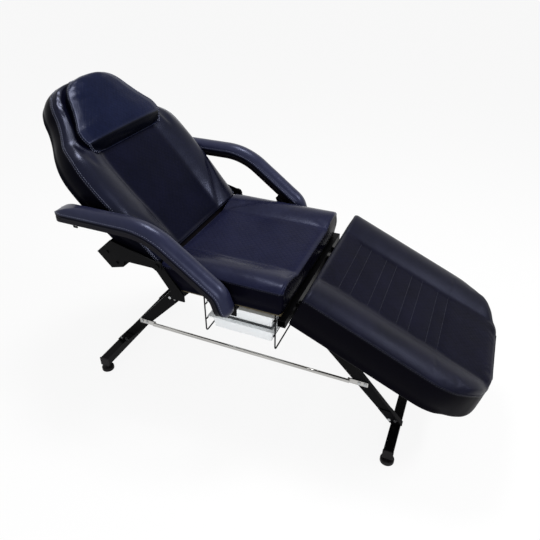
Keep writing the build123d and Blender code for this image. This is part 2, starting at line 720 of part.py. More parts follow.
def legrest_carriers():
    """Hinge ears and tubes of the leg rest, built lying flat, and the fixed ears and pins."""
    x, z = legrest_hinge_x, legrest_hinge_z
    inner = legrest_ear_place
    front = cross_tube_reach + frame_tube / 2
    ear = prism([(front, frame_bottom), (x, z - legrest_ear_radius), (x, z + legrest_ear_radius),
                 (front, frame_top)], inner, inner + hinge_plate)
    ear += bar((x, inner, z), (x, inner + hinge_plate, z), legrest_ear_radius)
    ear -= bore_y(x, z, hinge_pin_radius + pin_clearance, inner, inner + hinge_plate)
    moving = inner + hinge_plate + running_gap
    tail = x + legrest_hinge_reach + frame_tube
    half = moving_tube / 2
    level = (frame_top - moving_tube, frame_top)
    arm = prism([(x, z - legrest_ear_radius), (tail, frame_top - moving_tube), (tail, frame_top),
                 (x, frame_top)], moving, moving + hinge_plate)
    arm += bar((x, moving, z), (x, moving + hinge_plate, z), legrest_ear_radius)
    arm -= bore_y(x, z, hinge_pin_radius + pin_clearance, moving, moving + hinge_plate)
    rail_inner = moving + hinge_plate
    start = x + hinge_pin_radius + pin_head_radius
    end = legrest_edge + legrest_length * legrest_outline_shares[3][0]
    rail = square_tube((start, end), (rail_inner, rail_inner + moving_tube), level, frame_wall, 0)
    first = legrest_edge + legrest_length / 4
    tubes = [square_tube((place, place + moving_tube), (-rail_inner, rail_inner), level, frame_wall, 1)
             for place in (first, end - moving_tube)]
    pin = bar((x, inner - pin_flange, z), (x, rail_inner + running_gap, z), hinge_pin_radius)
    pin += bar((x, inner - pin_flange, z), (x, inner, z), pin_head_radius)
    head = rail_inner + running_gap
    pin += bar((x, head, z), (x, head + pin_head, z), pin_head_radius)
    fixed = {"legrest_ear_left": ear, "legrest_ear_right": mirrored(ear), "legrest_pins": pair(pin)}
    moved = {"legrest_arm_left": arm, "legrest_arm_right": mirrored(arm), "legrest_rail_left": rail,
             "legrest_rail_right": mirrored(rail), "legrest_cross_tubes": group(tubes)}
    return fixed, moved


def arm_path(drop):
    """The arm's line in the XZ plane at a depth below the pad's underside, and its end headings."""
    slope, dive = math.radians(arm_bend_angle), math.radians(arm_bend_angle + arm_tip_angle)
    level = seat_height + arm_rise - drop
    first_radius, second_radius = arm_bend_radius - drop, arm_tip_radius - drop
    start = (-arm_bend_place - arm_rear_run, level)
    bend = (-arm_bend_place, level)
    curve = JernArc(bend, (1, 0), first_radius, -arm_bend_angle)
    run = curve.position_at(1) + Vector(math.cos(slope), -math.sin(slope)) * arm_slope_run
    tip = JernArc(run, (math.cos(slope), -math.sin(slope)), second_radius, -arm_tip_angle)
    last = tip.position_at(1) + Vector(math.cos(dive), -math.sin(dive)) * arm_tip_run
    lines = [Line(start, bend), curve, Line(curve.position_at(1), run), tip, Line(tip.position_at(1), last)]
    return lines, start, (last.X, last.Y), dive, (curve.position_at(1), run)


def arm_body(drop, half, section):
    """A section swept along the arm's line, with a rounded end at each end. Left arm."""
    lines, start, last, dive, slope_run = arm_path(drop)
    side = Plane(origin=(0, arm_middle_y, 0), x_dir=(1, 0, 0), z_dir=(0, -1, 0))
    path = side * Wire([edge for line in lines for edge in line.edges()])
    first = Plane(origin=side.from_local_coords((*start, 0)), x_dir=(0, 1, 0), z_dir=(1, 0, 0))
    body = sweep(first * section, path=path)
    half_face = section & (Pos(half / 2, 0) * Rectangle(half, 4 * arm_pad))
    rear = revolve(first * half_face, axis=Axis(first.origin, (0, 0, 1)), revolution_arc=180)
    heading = Vector(math.cos(dive), 0, -math.sin(dive))
    upward = Vector(math.sin(dive), 0, math.cos(dive))
    place = Plane(origin=side.from_local_coords((*last, 0)), x_dir=(0, 1, 0), z_dir=heading)
    front = revolve(place * half_face, axis=Axis(place.origin, upward), revolution_arc=-180)
    return body + rear + front


def arm_rear_cut():
    """What thins the pad towards its rear end: all above a quarter of an ellipse. Left arm."""
    rear = -arm_bend_place - arm_rear_run - arm_width / 2
    level = seat_height + arm_rise
    curve = []
    for angle in range(0, 91, 10):
        turn = math.radians(angle)
        curve.append((rear + arm_taper * (1 - math.cos(turn)), level + arm_pad * math.sin(turn)))
    corner = [(rear + arm_taper, level + 2 * arm_pad), (rear - overrun, level + 2 * arm_pad),
              (rear - overrun, level)]
    return prism(curve + corner, arm_inner_y - overrun, arm_inner_y + arm_width + overrun)


def arm_pieces():
    half = arm_width / 2
    base, seam = half - arm_core_inset, half - seam_inset / 2
    pad_section = make_face([
        Line((-base, 0), (base, 0)),
        ThreePointArc((base, 0), (half, arm_pad_side / 2), (seam, arm_pad_side)),
        ThreePointArc((seam, arm_pad_side), (0, arm_pad), (-seam, arm_pad_side)),
        ThreePointArc((-seam, arm_pad_side), (-half, arm_pad_side / 2), (-base, 0))])
    pad = arm_body(0, half, pad_section) - arm_rear_cut()
    core_half = half - arm_core_inset
    core_section = Pos(0, -arm_core / 2) * Rectangle(2 * core_half, arm_core)
    core = arm_body(0, core_half, core_section)
    return pad, core


def arm_slope_frame():
    """A plane on the underside of the arm's core at the bracket: X down the slope."""
    slope = math.radians(arm_bend_angle)
    lines, start, last, dive, (top, foot) = arm_path(0)
    point = top + (foot - top) * arm_bracket_start_share
    under = Vector(-math.sin(slope), -math.cos(slope)) * arm_core
    origin = point + under
    return (origin.X, origin.Y), (math.cos(slope), -math.sin(slope)), (-math.sin(slope), -math.cos(slope))


def along_slope(origin, way, under, run, depth):
    return (origin[0] + way[0] * run + under[0] * depth, origin[1] + way[1] * run + under[1] * depth)


def arm_bracket_piece():
    """The left bracket: an upright web on the under-frame and a flange under the arm."""
    origin, way, under = arm_slope_frame()
    low = seat_plate_y
    rear_top = along_slope(origin, way, under, 0, 0)
    rear_low = along_slope(origin, way, under, 0, arm_bracket)
    front_top = along_slope(origin, way, under, arm_bracket_length, 0)
    front_low = along_slope(origin, way, under, arm_bracket_length, arm_bracket)
    foot = (arm_tube_place - arm_bracket_foot / 2, arm_tube_place + arm_bracket_foot / 2)
    web = prism([rear_top, front_top, (foot[1], frame_top + arm_bracket), (foot[1], frame_bottom),
                 (foot[0], frame_bottom), rear_low], low, low + arm_bracket)
    flange = prism([rear_top, front_top, front_low, rear_low], low, low + arm_bracket + arm_bracket_reach)
    piece = web + flange
    for head, shank in arm_screw_places():
        piece -= bar(head, shank, screw_radius + pin_clearance)
    for x, z in arm_bolt_places():
        piece -= bore_y(x, z, bolt_radius + pin_clearance, low, low + arm_bracket)
    return piece


def arm_screw_places():
    """Line of each screw up through the flange into the arm's core."""
    origin, way, under = arm_slope_frame()
    y = arm_middle_y
    places = []
    for run in (arm_bracket_length / 4, arm_bracket_length * 3 / 4):
        head = along_slope(origin, way, under, run, arm_bracket)
        top = along_slope(origin, way, under, run, -arm_core * 3 / 4)
        places.append(((head[0], y, head[1]), (top[0], y, top[1])))
    return places


def arm_bolt_places():
    """Two bolts fix the web to the end of the under-frame's tube."""
    z = (frame_bottom + frame_top) / 2
    return [(arm_tube_place - frame_tube / 4, z), (arm_tube_place + frame_tube / 4, z)]


def arms():
    nodes = {}
    pad, core = arm_pieces()
    screws, bolts = [], []
    for head, top in arm_screw_places():
        core -= bar(head, top, screw_radius + pin_clearance)
        way = Vector(*top) - Vector(*head)
        screws.append(bolt(head, way, way.length, screw_radius, screw_head_radius, screw_head))
    for x, z in arm_bolt_places():
        bolts.append(bolt((x, seat_plate_y + arm_bracket, z), (0, -1, 0), arm_bracket, bolt_radius,
                          screw_head_radius, screw_head))
    bracket = arm_bracket_piece()
    place = -arm_bend_place - arm_rear_run + arm_hook_place
    top = seat_height + arm_rise - arm_core
    hook = bar((place, arm_middle_y, top - arm_hook_drop), (place, arm_middle_y, top), arm_hook_radius)
    hook += bar((place, arm_middle_y, top - arm_hook_drop),
                (place + arm_hook_drop / 2, arm_middle_y, top - arm_hook_drop), arm_hook_radius)
    nodes["arm_pad_left"], nodes["arm_pad_right"] = pad, mirrored(pad)
    nodes["arm_core_left"], nodes["arm_core_right"] = core, mirrored(core)
    nodes["arm_bracket_left"], nodes["arm_bracket_right"] = bracket, mirrored(bracket)
    nodes["arm_fastenings"] = group([piece for one in screws + bolts for piece in (one, mirrored(one))])
    nodes["arm_hooks"] = pair(hook)
    return nodes


def tray_shell(lip_top):
    """One tray with leaning walls and a lip all round."""
    half_x, half_y = tray_length / 2 - tray_lip, tray_width / 2 - tray_lip
    floor = lip_top - tray_height

    def body(shrink, low, high):
        lean = tray_draft * (high - low) / tray_height
        base = Pos(0, 0, low) * Rectangle(2 * (half_x - shrink - lean), 2 * (half_y - shrink - lean))
        rim = Pos(0, 0, high) * Rectangle(2 * (half_x - shrink), 2 * (half_y - shrink))
        return loft([base, rim], ruled=True)

    shell = body(0, floor, lip_top)
    lip = span((-tray_length / 2, tray_length / 2), (-tray_width / 2, tray_width / 2),
               (lip_top - tray_lip_thickness, lip_top))
    top = span((tray_wall - half_x, half_x - tray_wall), (tray_wall - half_y, half_y - tray_wall),
               (lip_top - tray_lip_thickness, lip_top + overrun))
    return shell + lip - body(tray_wall, floor + tray_wall, lip_top) - top


def tray_tops():
    upper = frame_top - tray_clearance
    return upper - tray_pitch, upper


def hanger():
    """The front hanger: one bent wire under both trays, a runner for each tray and two feet."""
    low_top, high_top = tray_tops()
    x = tray_length / 2 + hanger_gap + wire_radius
    y = tray_width / 2 + hanger_gap + 2 * wire_radius
    bottom = low_top - tray_height - hanger_sink - wire_radius
    top = frame_top - hanger_foot_thickness
    path = FilletPolyline((x, -y, top), (x, -y, bottom), (x, y, bottom), (x, y, top), radius=wire_bend)
    start = Plane(origin=(x, -y, top), z_dir=(0, 0, -1))
    wire = sweep(start * Circle(wire_radius), path=path)
    pieces = []
    runner_x = x - 2 * wire_radius
    for lip in (low_top, high_top):
        z = lip - tray_lip_thickness - running_gap - wire_radius
        pieces.append(bar((runner_x, -y - wire_radius, z), (runner_x, y + wire_radius, z), wire_radius))
    feet = []
    for place in (-y, y):
        feet.append(span((x - hanger_foot / 2, x + hanger_foot / 2),
                         (place - hanger_foot / 2, place + hanger_foot / 2), (top, frame_top)))
    return wire, group(pieces), group(feet)


def trays():
    low_top, high_top = tray_tops()
    wire, runners, feet = hanger()
    rear = Plane.YZ
    nodes = {"tray_lower": tray_shell(low_top), "tray_upper": tray_shell(high_top)}
    nodes["hanger_wire_front"], nodes["hanger_wire_rear"] = wire, mirror(wire, about=rear)
    nodes["tray_runners"] = group([runners, mirror(runners, about=rear)])
    nodes["hanger_feet"] = group([feet, mirror(feet, about=rear)])
    return nodes


def turned(pieces, x, z, angle):
    """Pieces turned about a line along Y. A positive angle lowers what lies towards +X."""
    place = Pos(x, 0, z) * Rot(0, angle, 0) * Pos(-x, 0, -z)
    return {name: place * piece for name, piece in pieces.items()}


def build():
    nodes = {**seat_pieces(), **under_frame(), **stand()}
    plate = seat_hinge_plate()
    nodes["seat_hinge_plate_left"], nodes["seat_hinge_plate_right"] = plate, mirrored(plate)
    carriers, pin = back_carriers()
    nodes["back_hinge_pins"] = pair(pin)
    fixed, moved = legrest_carriers()
    nodes.update({**fixed, **arms(), **trays()})
    backrest = {**back_pieces(), **carriers, "headrest_pillow": pillow()}
    nodes.update(turned(backrest, hinge_x, hinge_z, back_angle))
    nodes.update(turned({**legrest_pieces(), **moved}, legrest_hinge_x, legrest_hinge_z, legrest_angle))
    return nodes


def main():
    os.makedirs("parts", exist_ok=True)
    nodes = build()
    box = group(nodes.values()).bounding_box()
    middle = (box.min.X + box.max.X) / 2
    for name, piece in nodes.items():
        export_step(Pos(-middle, 0, 0) * piece, "parts/" + name + ".step")
    print("nodes", len(nodes), "size", [round(v, 1) for v in box.size], "shift", round(middle, 3))
    print("backrest hinge", round(hinge_x - middle, 3), round(hinge_z, 3))
    print("leg rest hinge", round(legrest_hinge_x - middle, 3), round(legrest_hinge_z, 3))


main()
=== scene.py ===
import json
import math
import bpy
import bmesh
from mathutils import Matrix, Vector, noise


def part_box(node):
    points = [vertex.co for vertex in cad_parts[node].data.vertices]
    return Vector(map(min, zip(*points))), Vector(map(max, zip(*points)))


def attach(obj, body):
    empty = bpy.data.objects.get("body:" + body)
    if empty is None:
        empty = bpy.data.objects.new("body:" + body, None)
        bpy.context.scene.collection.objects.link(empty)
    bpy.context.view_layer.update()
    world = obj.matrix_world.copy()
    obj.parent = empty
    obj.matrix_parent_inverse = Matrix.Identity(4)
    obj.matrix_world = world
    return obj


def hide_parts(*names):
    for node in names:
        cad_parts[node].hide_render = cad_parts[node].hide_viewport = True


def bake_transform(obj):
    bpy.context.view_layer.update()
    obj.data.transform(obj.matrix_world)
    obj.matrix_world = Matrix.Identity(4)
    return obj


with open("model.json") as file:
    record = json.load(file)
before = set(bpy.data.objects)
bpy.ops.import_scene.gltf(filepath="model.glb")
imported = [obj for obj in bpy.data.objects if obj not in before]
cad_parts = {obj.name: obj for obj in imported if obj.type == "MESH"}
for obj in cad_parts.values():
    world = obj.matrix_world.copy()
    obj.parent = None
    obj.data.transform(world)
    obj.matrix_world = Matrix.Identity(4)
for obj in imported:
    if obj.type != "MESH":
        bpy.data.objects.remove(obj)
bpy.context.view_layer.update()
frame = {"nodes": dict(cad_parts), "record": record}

scene = bpy.context.scene
nodes = frame["nodes"]
mm = 0.001

# The stand's middle, from which all lengths along the chair are taken
barBoxes = [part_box("foot_bar_front"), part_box("foot_bar_rear")]
standMiddle = sum(corner.x for box in barBoxes for corner in box) / 4

# Hinges: x and z in mm, and degrees that the cushion is turned about the cross axis
backHinge = (-233, 571, 47.5)
legrestHinge = (206, 463, 24)

print("stage: camera, floor and light")


def hexColour(code):
    # sRGB hex to linear
    parts = [int(code[i:i + 2], 16) / 255 for i in (1, 3, 5)]
    return tuple(c / 12.92 if c <= 0.04045 else ((c + 0.055) / 1.055) ** 2.4 for c in parts) + (1,)


def fillInputs(tree, node, inputs):
    # a socket is linked and anything else is set as a value
    for name, value in inputs.items():
        socket = node.inputs[name]
        if isinstance(value, bpy.types.NodeSocket):
            tree.links.new(value, socket)
        else:
            socket.default_value = value


def addNode(tree, kind, settings=None, inputs=None, stops=()):
    # stops are the places and hex colours of a colour ramp
    node = tree.nodes.new(kind)
    for name, value in (settings or {}).items():
        setattr(node, name, value)
    fillInputs(tree, node, inputs or {})
    if stops:
        for element, (position, code) in zip(node.color_ramp.elements, stops):
            element.position = position
            element.color = hexColour(code)
    return node


def newMaterial(name):
    material = bpy.data.materials.new(name)
    material.use_nodes = True
    tree = material.node_tree
    return material, tree, tree.nodes["Principled BSDF"]


def seenDirectly(tree):
    # 1 for what the camera, reflections and glass see, 0 for what lights the chair
    path = addNode(tree, "ShaderNodeLightPath")
    seen = path.outputs["Is Camera Ray"]
    for ray in ("Is Glossy Ray", "Is Transmission Ray"):
        larger = addNode(tree, "ShaderNodeMath", {"operation": "MAXIMUM"}, {0: seen, 1: path.outputs[ray]})
        seen = larger.outputs[0]
    return seen


camera = {
    "place": (0.6122, -1.4301, 1.4591),              # metres from the stand's middle
    "pitch": -0.58, "yaw": 0.40,                     # radians
    "frame": 540, "focal": 526.9, "centre": 265.2,   # pixels: picture width, focal length, lens axis
    "sensor": 36, "nearest": 0.05,
}
cameraData = bpy.data.cameras.new("camera")
cameraData.sensor_width = camera["sensor"]
cameraData.lens = camera["focal"] / camera["frame"] * camera["sensor"]
cameraData.shift_x = (camera["frame"] / 2 - camera["centre"]) / camera["frame"]
cameraData.clip_start = camera["nearest"]
cameraObject = bpy.data.objects.new("camera", cameraData)
cameraObject.location = Vector(camera["place"]) + Vector((standMiddle, 0, 0))
cameraObject.rotation_euler = (math.pi / 2 + camera["pitch"], 0, camera["yaw"])
scene.collection.objects.link(cameraObject)
scene.camera = cameraObject

studio = {       # name: place, aimed at, size in metres, watts
    "keyLight": ((-0.3, 0.45, 2.9), (-0.05, 0, 0.55), (0.6, 0.5), 38),
    "footLight": ((1.9, 0.35, 2.3), (-0.4, 0, 0.8), (1.0, 0.3), 36),
    "frontLight": ((0.9, -2.4, 1.2), (0, 0, 0.4), (0.8, 0.8), 22),
}
for name, (place, target, size, power) in studio.items():
    lightData = bpy.data.lights.new(name, "AREA")
    lightData.shape = "RECTANGLE"
    lightData.size, lightData.size_y = size
    lightData.energy = power
    light = bpy.data.objects.new(name, lightData)
    light.location = Vector(place)
    light.rotation_euler = (Vector(target) - Vector(place)).to_track_quat("-Z", "Y").to_euler()
    scene.collection.objects.link(light)

backdrop = {"fill": 0.36, "paper": "#f4f4f4", "glow": 0.9, "size": 60}      # size in metres

world = bpy.data.worlds.new("studioWorld")
scene.world = world
world.use_nodes = True
tree = world.node_tree
strength = addNode(tree, "ShaderNodeMapRange", inputs={
    "Value": seenDirectly(tree), "To Min": backdrop["fill"], "To Max": 1.0})
fillInputs(tree, tree.nodes["Background"], {"Color": (1, 1, 1, 1), "Strength": strength.outputs["Result"]})

floorMesh = bpy.data.meshes.new("studioFloor")
sheet = bmesh.new()
bmesh.ops.create_grid(sheet, x_segments=1, y_segments=1, size=backdrop["size"])
sheet.to_mesh(floorMesh)
sheet.free()
studioFloor = bpy.data.objects.new("studioFloor", floorMesh)
scene.collection.objects.link(studioFloor)

# Matt white paper off a roll: an even pale ground that keeps the chair's soft shadow
paper, tree, shader = newMaterial("seamlessPaper")
fillInputs(tree, shader, {"Base Color": hexColour(backdrop["paper"]), "Roughness": 0.9,
                          "Specular IOR Level": 0.1})
share = addNode(tree, "ShaderNodeMath", {"operation": "MULTIPLY"},
                {0: seenDirectly(tree), 1: backdrop["glow"]})
glow = addNode(tree, "ShaderNodeEmission", inputs={"Color": (1, 1, 1, 1), "Strength": 1.0})
mix = addNode(tree, "ShaderNodeMixShader", inputs={0: share.outputs[0], 1: shader.outputs[0],
                                                   2: glow.outputs[0]})
fillInputs(tree, tree.nodes["Material Output"], {"Surface": mix.outputs[0]})
floorMesh.materials.append(paper)
scene.view_settings.view_transform = "Standard"

print("stage: materials")

leather = {
    "grain": 1.1, "grainDepth": 0.05,          # pebbles of the cover, mm across and mm deep
    "clouds": 91, "mottle": 11.1,              # mm across: handled patches, and unevenness of the film
    "mottleShare": 0.45, "wear": 0.12,         # how far they change the colour and the roughness
    "latticeEdge": 0.22,                       # width of a lattice line's slope, as a share of a cell
    "wallShadeShare": 0.85, "wallShadeFade": (0.05, 0.35),      # how far the walls take their painted shade, and from where
    "panelShine": 0.035, "wallShine": 0.018, "tint": "#c3cbf2", "ior": 1.5,
}

# Colours are the darker and paler tones of the cover, the paler one also painted light on the lattice's
# raised cushions, and the walls' painted shade. A quilt is the lattice's pitch in mm, its depth in mm and how
# much paler its raised cushions are painted, as painted light. Roughness is that of smooth parts and of the
# panel.
# One vinyl throughout: its colours and shine differ by cushion as painted light and shade, palest on the arms
# and seat, darker on the leg rest and darkest on the backrest
vinyls = {
    "seatVinyl": {"colours": ("#0c0d20", "#1a1c33", "#060509"), "quilt": (14, 0.45, 0.09)},
    "backVinyl": {"colours": ("#04050f", "#0b0c1e", "#05050a"), "quilt": (14, 0.3, 0.06),
                  "topShine": 0.21},
    "legrestVinyl": {"colours": ("#06060e", "#111120", "#070609"), "quilt": (14, 0.22, 0.06),
                     "topShine": 0.12, "roughness": (0.42, 0.42)},
    "pillowVinyl": {"colours": ("#0a0e20", "#131830", "#010102"), "quilt": (11, 0.25, 0.08)},
    "armVinyl": {"colours": ("#15172a", "#212338", "#08080d"), "topShine": 0.3, "roughness": (0.32, 0.32)},
    "bandVinyl": {"colours": ("#080607", "#110d0f", "#080607"), "roughness": (0.42, 0.42)},
}


def artificialLeather(name, colours, quilt=None, topShine=0.13, roughness=(0.27, 0.36)):
    # Calendered PVC on a knitted back: smooth and satin with a fine pebble grain. The middle panels are
    # embossed with a diamond lattice and are duller. The side walls get a painted shade, a darker colour, and
    # less shine.
    material, tree, shader = newMaterial(name)
    place = addNode(tree, "ShaderNodeTexCoord").outputs["Object"]
    # the pebbles are drawn at twice their real size, so that they show
    pebble = addNode(tree, "ShaderNodeTexVoronoi", {"feature": "SMOOTH_F1"},
                     {"Vector": place, "Scale": 1 / (2 * leather["grain"] * mm), "Smoothness": 0.4})
    clouds = addNode(tree, "ShaderNodeTexNoise", inputs={
        "Vector": place, "Scale": 1 / (leather["clouds"] * mm), "Detail": 4.0, "Roughness": 0.55})
    mottle = addNode(tree, "ShaderNodeTexNoise", inputs={
        "Vector": place, "Scale": 1 / (leather["mottle"] * mm), "Detail": 3.0, "Roughness": 0.6})
    fine = addNode(tree, "ShaderNodeMath", {"operation": "MULTIPLY"},
                   {0: mottle.outputs["Fac"], 1: leather["mottleShare"]})
    uneven = addNode(tree, "ShaderNodeMath", {"operation": "MULTIPLY_ADD"},
                     {0: clouds.outputs["Fac"], 1: 1 - leather["mottleShare"], 2: fine.outputs[0]})
    height = addNode(tree, "ShaderNodeMath", {"operation": "MULTIPLY"},
                     {0: pebble.outputs["Distance"], 1: leather["grainDepth"]})
    panel = addNode(tree, "ShaderNodeAttribute", {"attribute_name": "panel"}).outputs["Fac"]
    # the wall share marks where the walls' painted shade goes
    wall = addNode(tree, "ShaderNodeAttribute", {"attribute_name": "wall"}).outputs["Fac"]
    if quilt:
        pitch, depth, paintedPuffLight = quilt
        flat = addNode(tree, "ShaderNodeUVMap", {"uv_map": "flat"}).outputs["UV"]
        turned = addNode(tree, "ShaderNodeMapping", inputs={
            "Vector": flat, "Rotation": (0, 0, math.radians(45)), "Scale": (1 / (pitch * mm),) * 3})
        parts = addNode(tree, "ShaderNodeSeparateXYZ", inputs={0: turned.outputs[0]})
        ridges = []
        for axis in (0, 1):
            # 0 on the lattice's lines and 1 between them
            wave = addNode(tree, "ShaderNodeMath", {"operation": "PINGPONG"},
                           {0: parts.outputs[axis], 1: 0.5})
            ridge = addNode(tree, "ShaderNodeMapRange", {"interpolation_type": "SMOOTHSTEP"},
                            {"Value": wave.outputs[0], "From Min": 0.0, "From Max": leather["latticeEdge"]})
            ridges.append(ridge.outputs[0])
        lattice = addNode(tree, "ShaderNodeMath", {"operation": "MULTIPLY"}, {0: ridges[0], 1: ridges[1]})
        raised = addNode(tree, "ShaderNodeMath", {"operation": "MULTIPLY"}, {0: lattice.outputs[0], 1: panel})
        height = addNode(tree, "ShaderNodeMath", {"operation": "MULTIPLY_ADD"},
                         {0: raised.outputs[0], 1: depth, 2: height.outputs[0]})
        # painted light: the lattice's raised cushions are paler and its lines darker
        uneven = addNode(tree, "ShaderNodeMath", {"operation": "MULTIPLY_ADD"},
                         {0: raised.outputs[0], 1: paintedPuffLight, 2: uneven.outputs[0]})
    top = addNode(tree, "ShaderNodeValToRGB", inputs={"Fac": uneven.outputs[0]},
                  stops=[(0.3, colours[0]), (0.8, colours[1])])
    # painted shade: the walls darken toward the third colour
    fadeStart, fadeEnd = leather["wallShadeFade"]
    paintedWallShade = addNode(tree, "ShaderNodeMapRange", inputs={
        "Value": wall, "From Min": fadeStart, "From Max": fadeEnd, "To Max": leather["wallShadeShare"]})
    base = addNode(tree, "ShaderNodeMix", {"data_type": "RGBA"},
                   {0: paintedWallShade.outputs[0], 6: top.outputs[0], 7: hexColour(colours[2])})
    worn = addNode(tree, "ShaderNodeMath", {"operation": "MULTIPLY_ADD"},
                   {0: clouds.outputs["Fac"], 1: leather["wear"], 2: roughness[0] - leather["wear"] / 2})
    dull = addNode(tree, "ShaderNodeMath", {"operation": "MULTIPLY_ADD"},
                   {0: panel, 1: roughness[1] - roughness[0], 2: worn.outputs[0]})
    bump = addNode(tree, "ShaderNodeBump", inputs={
        "Strength": 0.6, "Distance": 1 * mm, "Height": height.outputs[0]})
    shine = addNode(tree, "ShaderNodeMapRange", inputs={
        "Value": panel, "To Min": topShine, "To Max": leather["panelShine"]})
    shine = addNode(tree, "ShaderNodeMapRange", inputs={
        "Value": wall, "To Min": shine.outputs[0], "To Max": leather["wallShine"]})
    fillInputs(tree, shader, {
        "Base Color": base.outputs[2], "Roughness": dull.outputs[0], "Normal": bump.outputs[0],
        "Specular IOR Level": shine.outputs[0], "IOR": leather["ior"],
        "Specular Tint": hexColour(leather["tint"])})
    return material


def spunThread(name, dark, pale, fibre=1.11):
    # Bonded polyester thread: a twisted yarn with a soft sheen, in the two tones given. Its strands are about
    # 0.4 mm across, and drawn at 1.1 mm so that they show.
    material, tree, shader = newMaterial(name)
    place = addNode(tree, "ShaderNodeTexCoord").outputs["Object"]
    strands = addNode(tree, "ShaderNodeTexNoise", inputs={
        "Vector": place, "Scale": 1 / (fibre * mm), "Detail": 2.0})
    colour = addNode(tree, "ShaderNodeValToRGB", inputs={"Fac": strands.outputs["Fac"]},
                     stops=[(0.3, dark), (0.7, pale)])
    bump = addNode(tree, "ShaderNodeBump", inputs={
        "Strength": 0.5, "Distance": 0.3 * mm, "Height": strands.outputs["Fac"]})
    fillInputs(tree, shader, {"Base Color": colour.outputs[0], "Normal": bump.outputs[0],
                              "Roughness": 0.55, "Specular IOR Level": 0.3})
    return material


birch = {
    "dark": "#3c3626", "pale": "#75694a",
    "band": 6.711, "fibre": (83.3, 11.1, 2.5),      # mm: two plies as drawn, fibres along x, y and z
}


def birchPlywood(name, turn):
    # Rotary-cut plywood, 12 mm in seven plies: olive-brown bands along the sawn edge, faint grain. A dark
    # and a pale ply are 3.4 mm together, and drawn at about twice that so that they show.
    material, tree, shader = newMaterial(name)
    place = addNode(tree, "ShaderNodeTexCoord").outputs["Object"]
    level = addNode(tree, "ShaderNodeMapping", inputs={
        "Vector": place, "Rotation": (0, math.radians(turn), 0)})
    # a wave texture at scale 1 repeats every pi / 10
    plies = addNode(tree, "ShaderNodeTexWave", {"wave_type": "BANDS", "bands_direction": "Z"},
                    {"Vector": level.outputs[0], "Scale": math.pi / 10 / (birch["band"] * mm),
                     "Distortion": 0.6, "Detail": 2.0})
    stretched = addNode(tree, "ShaderNodeMapping", inputs={
        "Vector": level.outputs[0], "Scale": [1 / (size * mm) for size in birch["fibre"]]})
    fibre = addNode(tree, "ShaderNodeTexNoise", inputs={
        "Vector": stretched.outputs[0], "Scale": 1.0, "Detail": 4.0})
    half = addNode(tree, "ShaderNodeMath", {"operation": "MULTIPLY"}, {0: plies.outputs["Fac"], 1: 0.5})
    mixed = addNode(tree, "ShaderNodeMath", {"operation": "MULTIPLY_ADD"},
                    {0: fibre.outputs["Fac"], 1: 0.5, 2: half.outputs[0]})
    colour = addNode(tree, "ShaderNodeValToRGB", inputs={"Fac": mixed.outputs[0]},
                     stops=[(0.25, birch["dark"]), (0.75, birch["pale"])])
    bump = addNode(tree, "ShaderNodeBump", inputs={
        "Strength": 0.3, "Distance": 0.3 * mm, "Height": mixed.outputs[0]})
    fillInputs(tree, shader, {"Base Color": colour.outputs[0], "Normal": bump.outputs[0],
                              "Roughness": 0.7, "Specular IOR Level": 0.3})
    return material


coating = {
    "dark": "#030304", "pale": "#09090b", "roughness": (0.34, 0.52),
    "peel": 1.5, "dust": 111,      # mm across
}


def powderCoat(name):
    # Steel with a baked black powder coat: half-matt, with a faint orange peel that is drawn at twice its
    # size so that it shows, and duller where dust settles
    material, tree, shader = newMaterial(name)
    place = addNode(tree, "ShaderNodeTexCoord").outputs["Object"]
    peel = addNode(tree, "ShaderNodeTexNoise", inputs={
        "Vector": place, "Scale": 1 / (2 * coating["peel"] * mm), "Detail": 2.0})
    dust = addNode(tree, "ShaderNodeTexNoise", inputs={
        "Vector": place, "Scale": 1 / (coating["dust"] * mm), "Detail": 5.0})
    colour = addNode(tree, "ShaderNodeValToRGB", inputs={"Fac": dust.outputs["Fac"]},
                     stops=[(0.35, coating["dark"]), (0.75, coating["pale"])])
    smoothest, dullest = coating["roughness"]
    rough = addNode(tree, "ShaderNodeMapRange", inputs={
        "Value": dust.outputs["Fac"], "To Min": smoothest, "To Max": dullest})
    bump = addNode(tree, "ShaderNodeBump", inputs={
        "Strength": 0.25, "Distance": 0.4 * mm, "Height": peel.outputs["Fac"]})
    fillInputs(tree, shader, {"Base Color": colour.outputs[0], "Roughness": rough.outputs[0],
                              "Normal": bump.outputs[0], "Specular IOR Level": 0.05})
    return material


def platedMetal(name, dark, pale, roughness, lines):
    # Electroplated steel, polished before plating: a clear finish with faint polish lines, lengthways on
    # the rods. Lines gives their size in mm along x, y and z. Real ones are about 0.1 mm wide, and they
    # are drawn wider so that they show.
    material, tree, shader = newMaterial(name)
    place = addNode(tree, "ShaderNodeTexCoord").outputs["Object"]
    stretched = addNode(tree, "ShaderNodeMapping", inputs={
        "Vector": place, "Scale": [1 / (size * mm) for size in lines]})
    polish = addNode(tree, "ShaderNodeTexNoise", inputs={
        "Vector": stretched.outputs[0], "Scale": 1.0, "Detail": 3.0})
    colour = addNode(tree, "ShaderNodeValToRGB", inputs={"Fac": polish.outputs["Fac"]},
                     stops=[(0.3, dark), (0.7, pale)])
    rough = addNode(tree, "ShaderNodeMapRange", inputs={
        "Value": polish.outputs["Fac"], "To Min": roughness, "To Max": roughness + 0.12})
    fillInputs(tree, shader, {"Base Color": colour.outputs[0], "Roughness": rough.outputs[0],
                              "Metallic": 1.0})
    return material


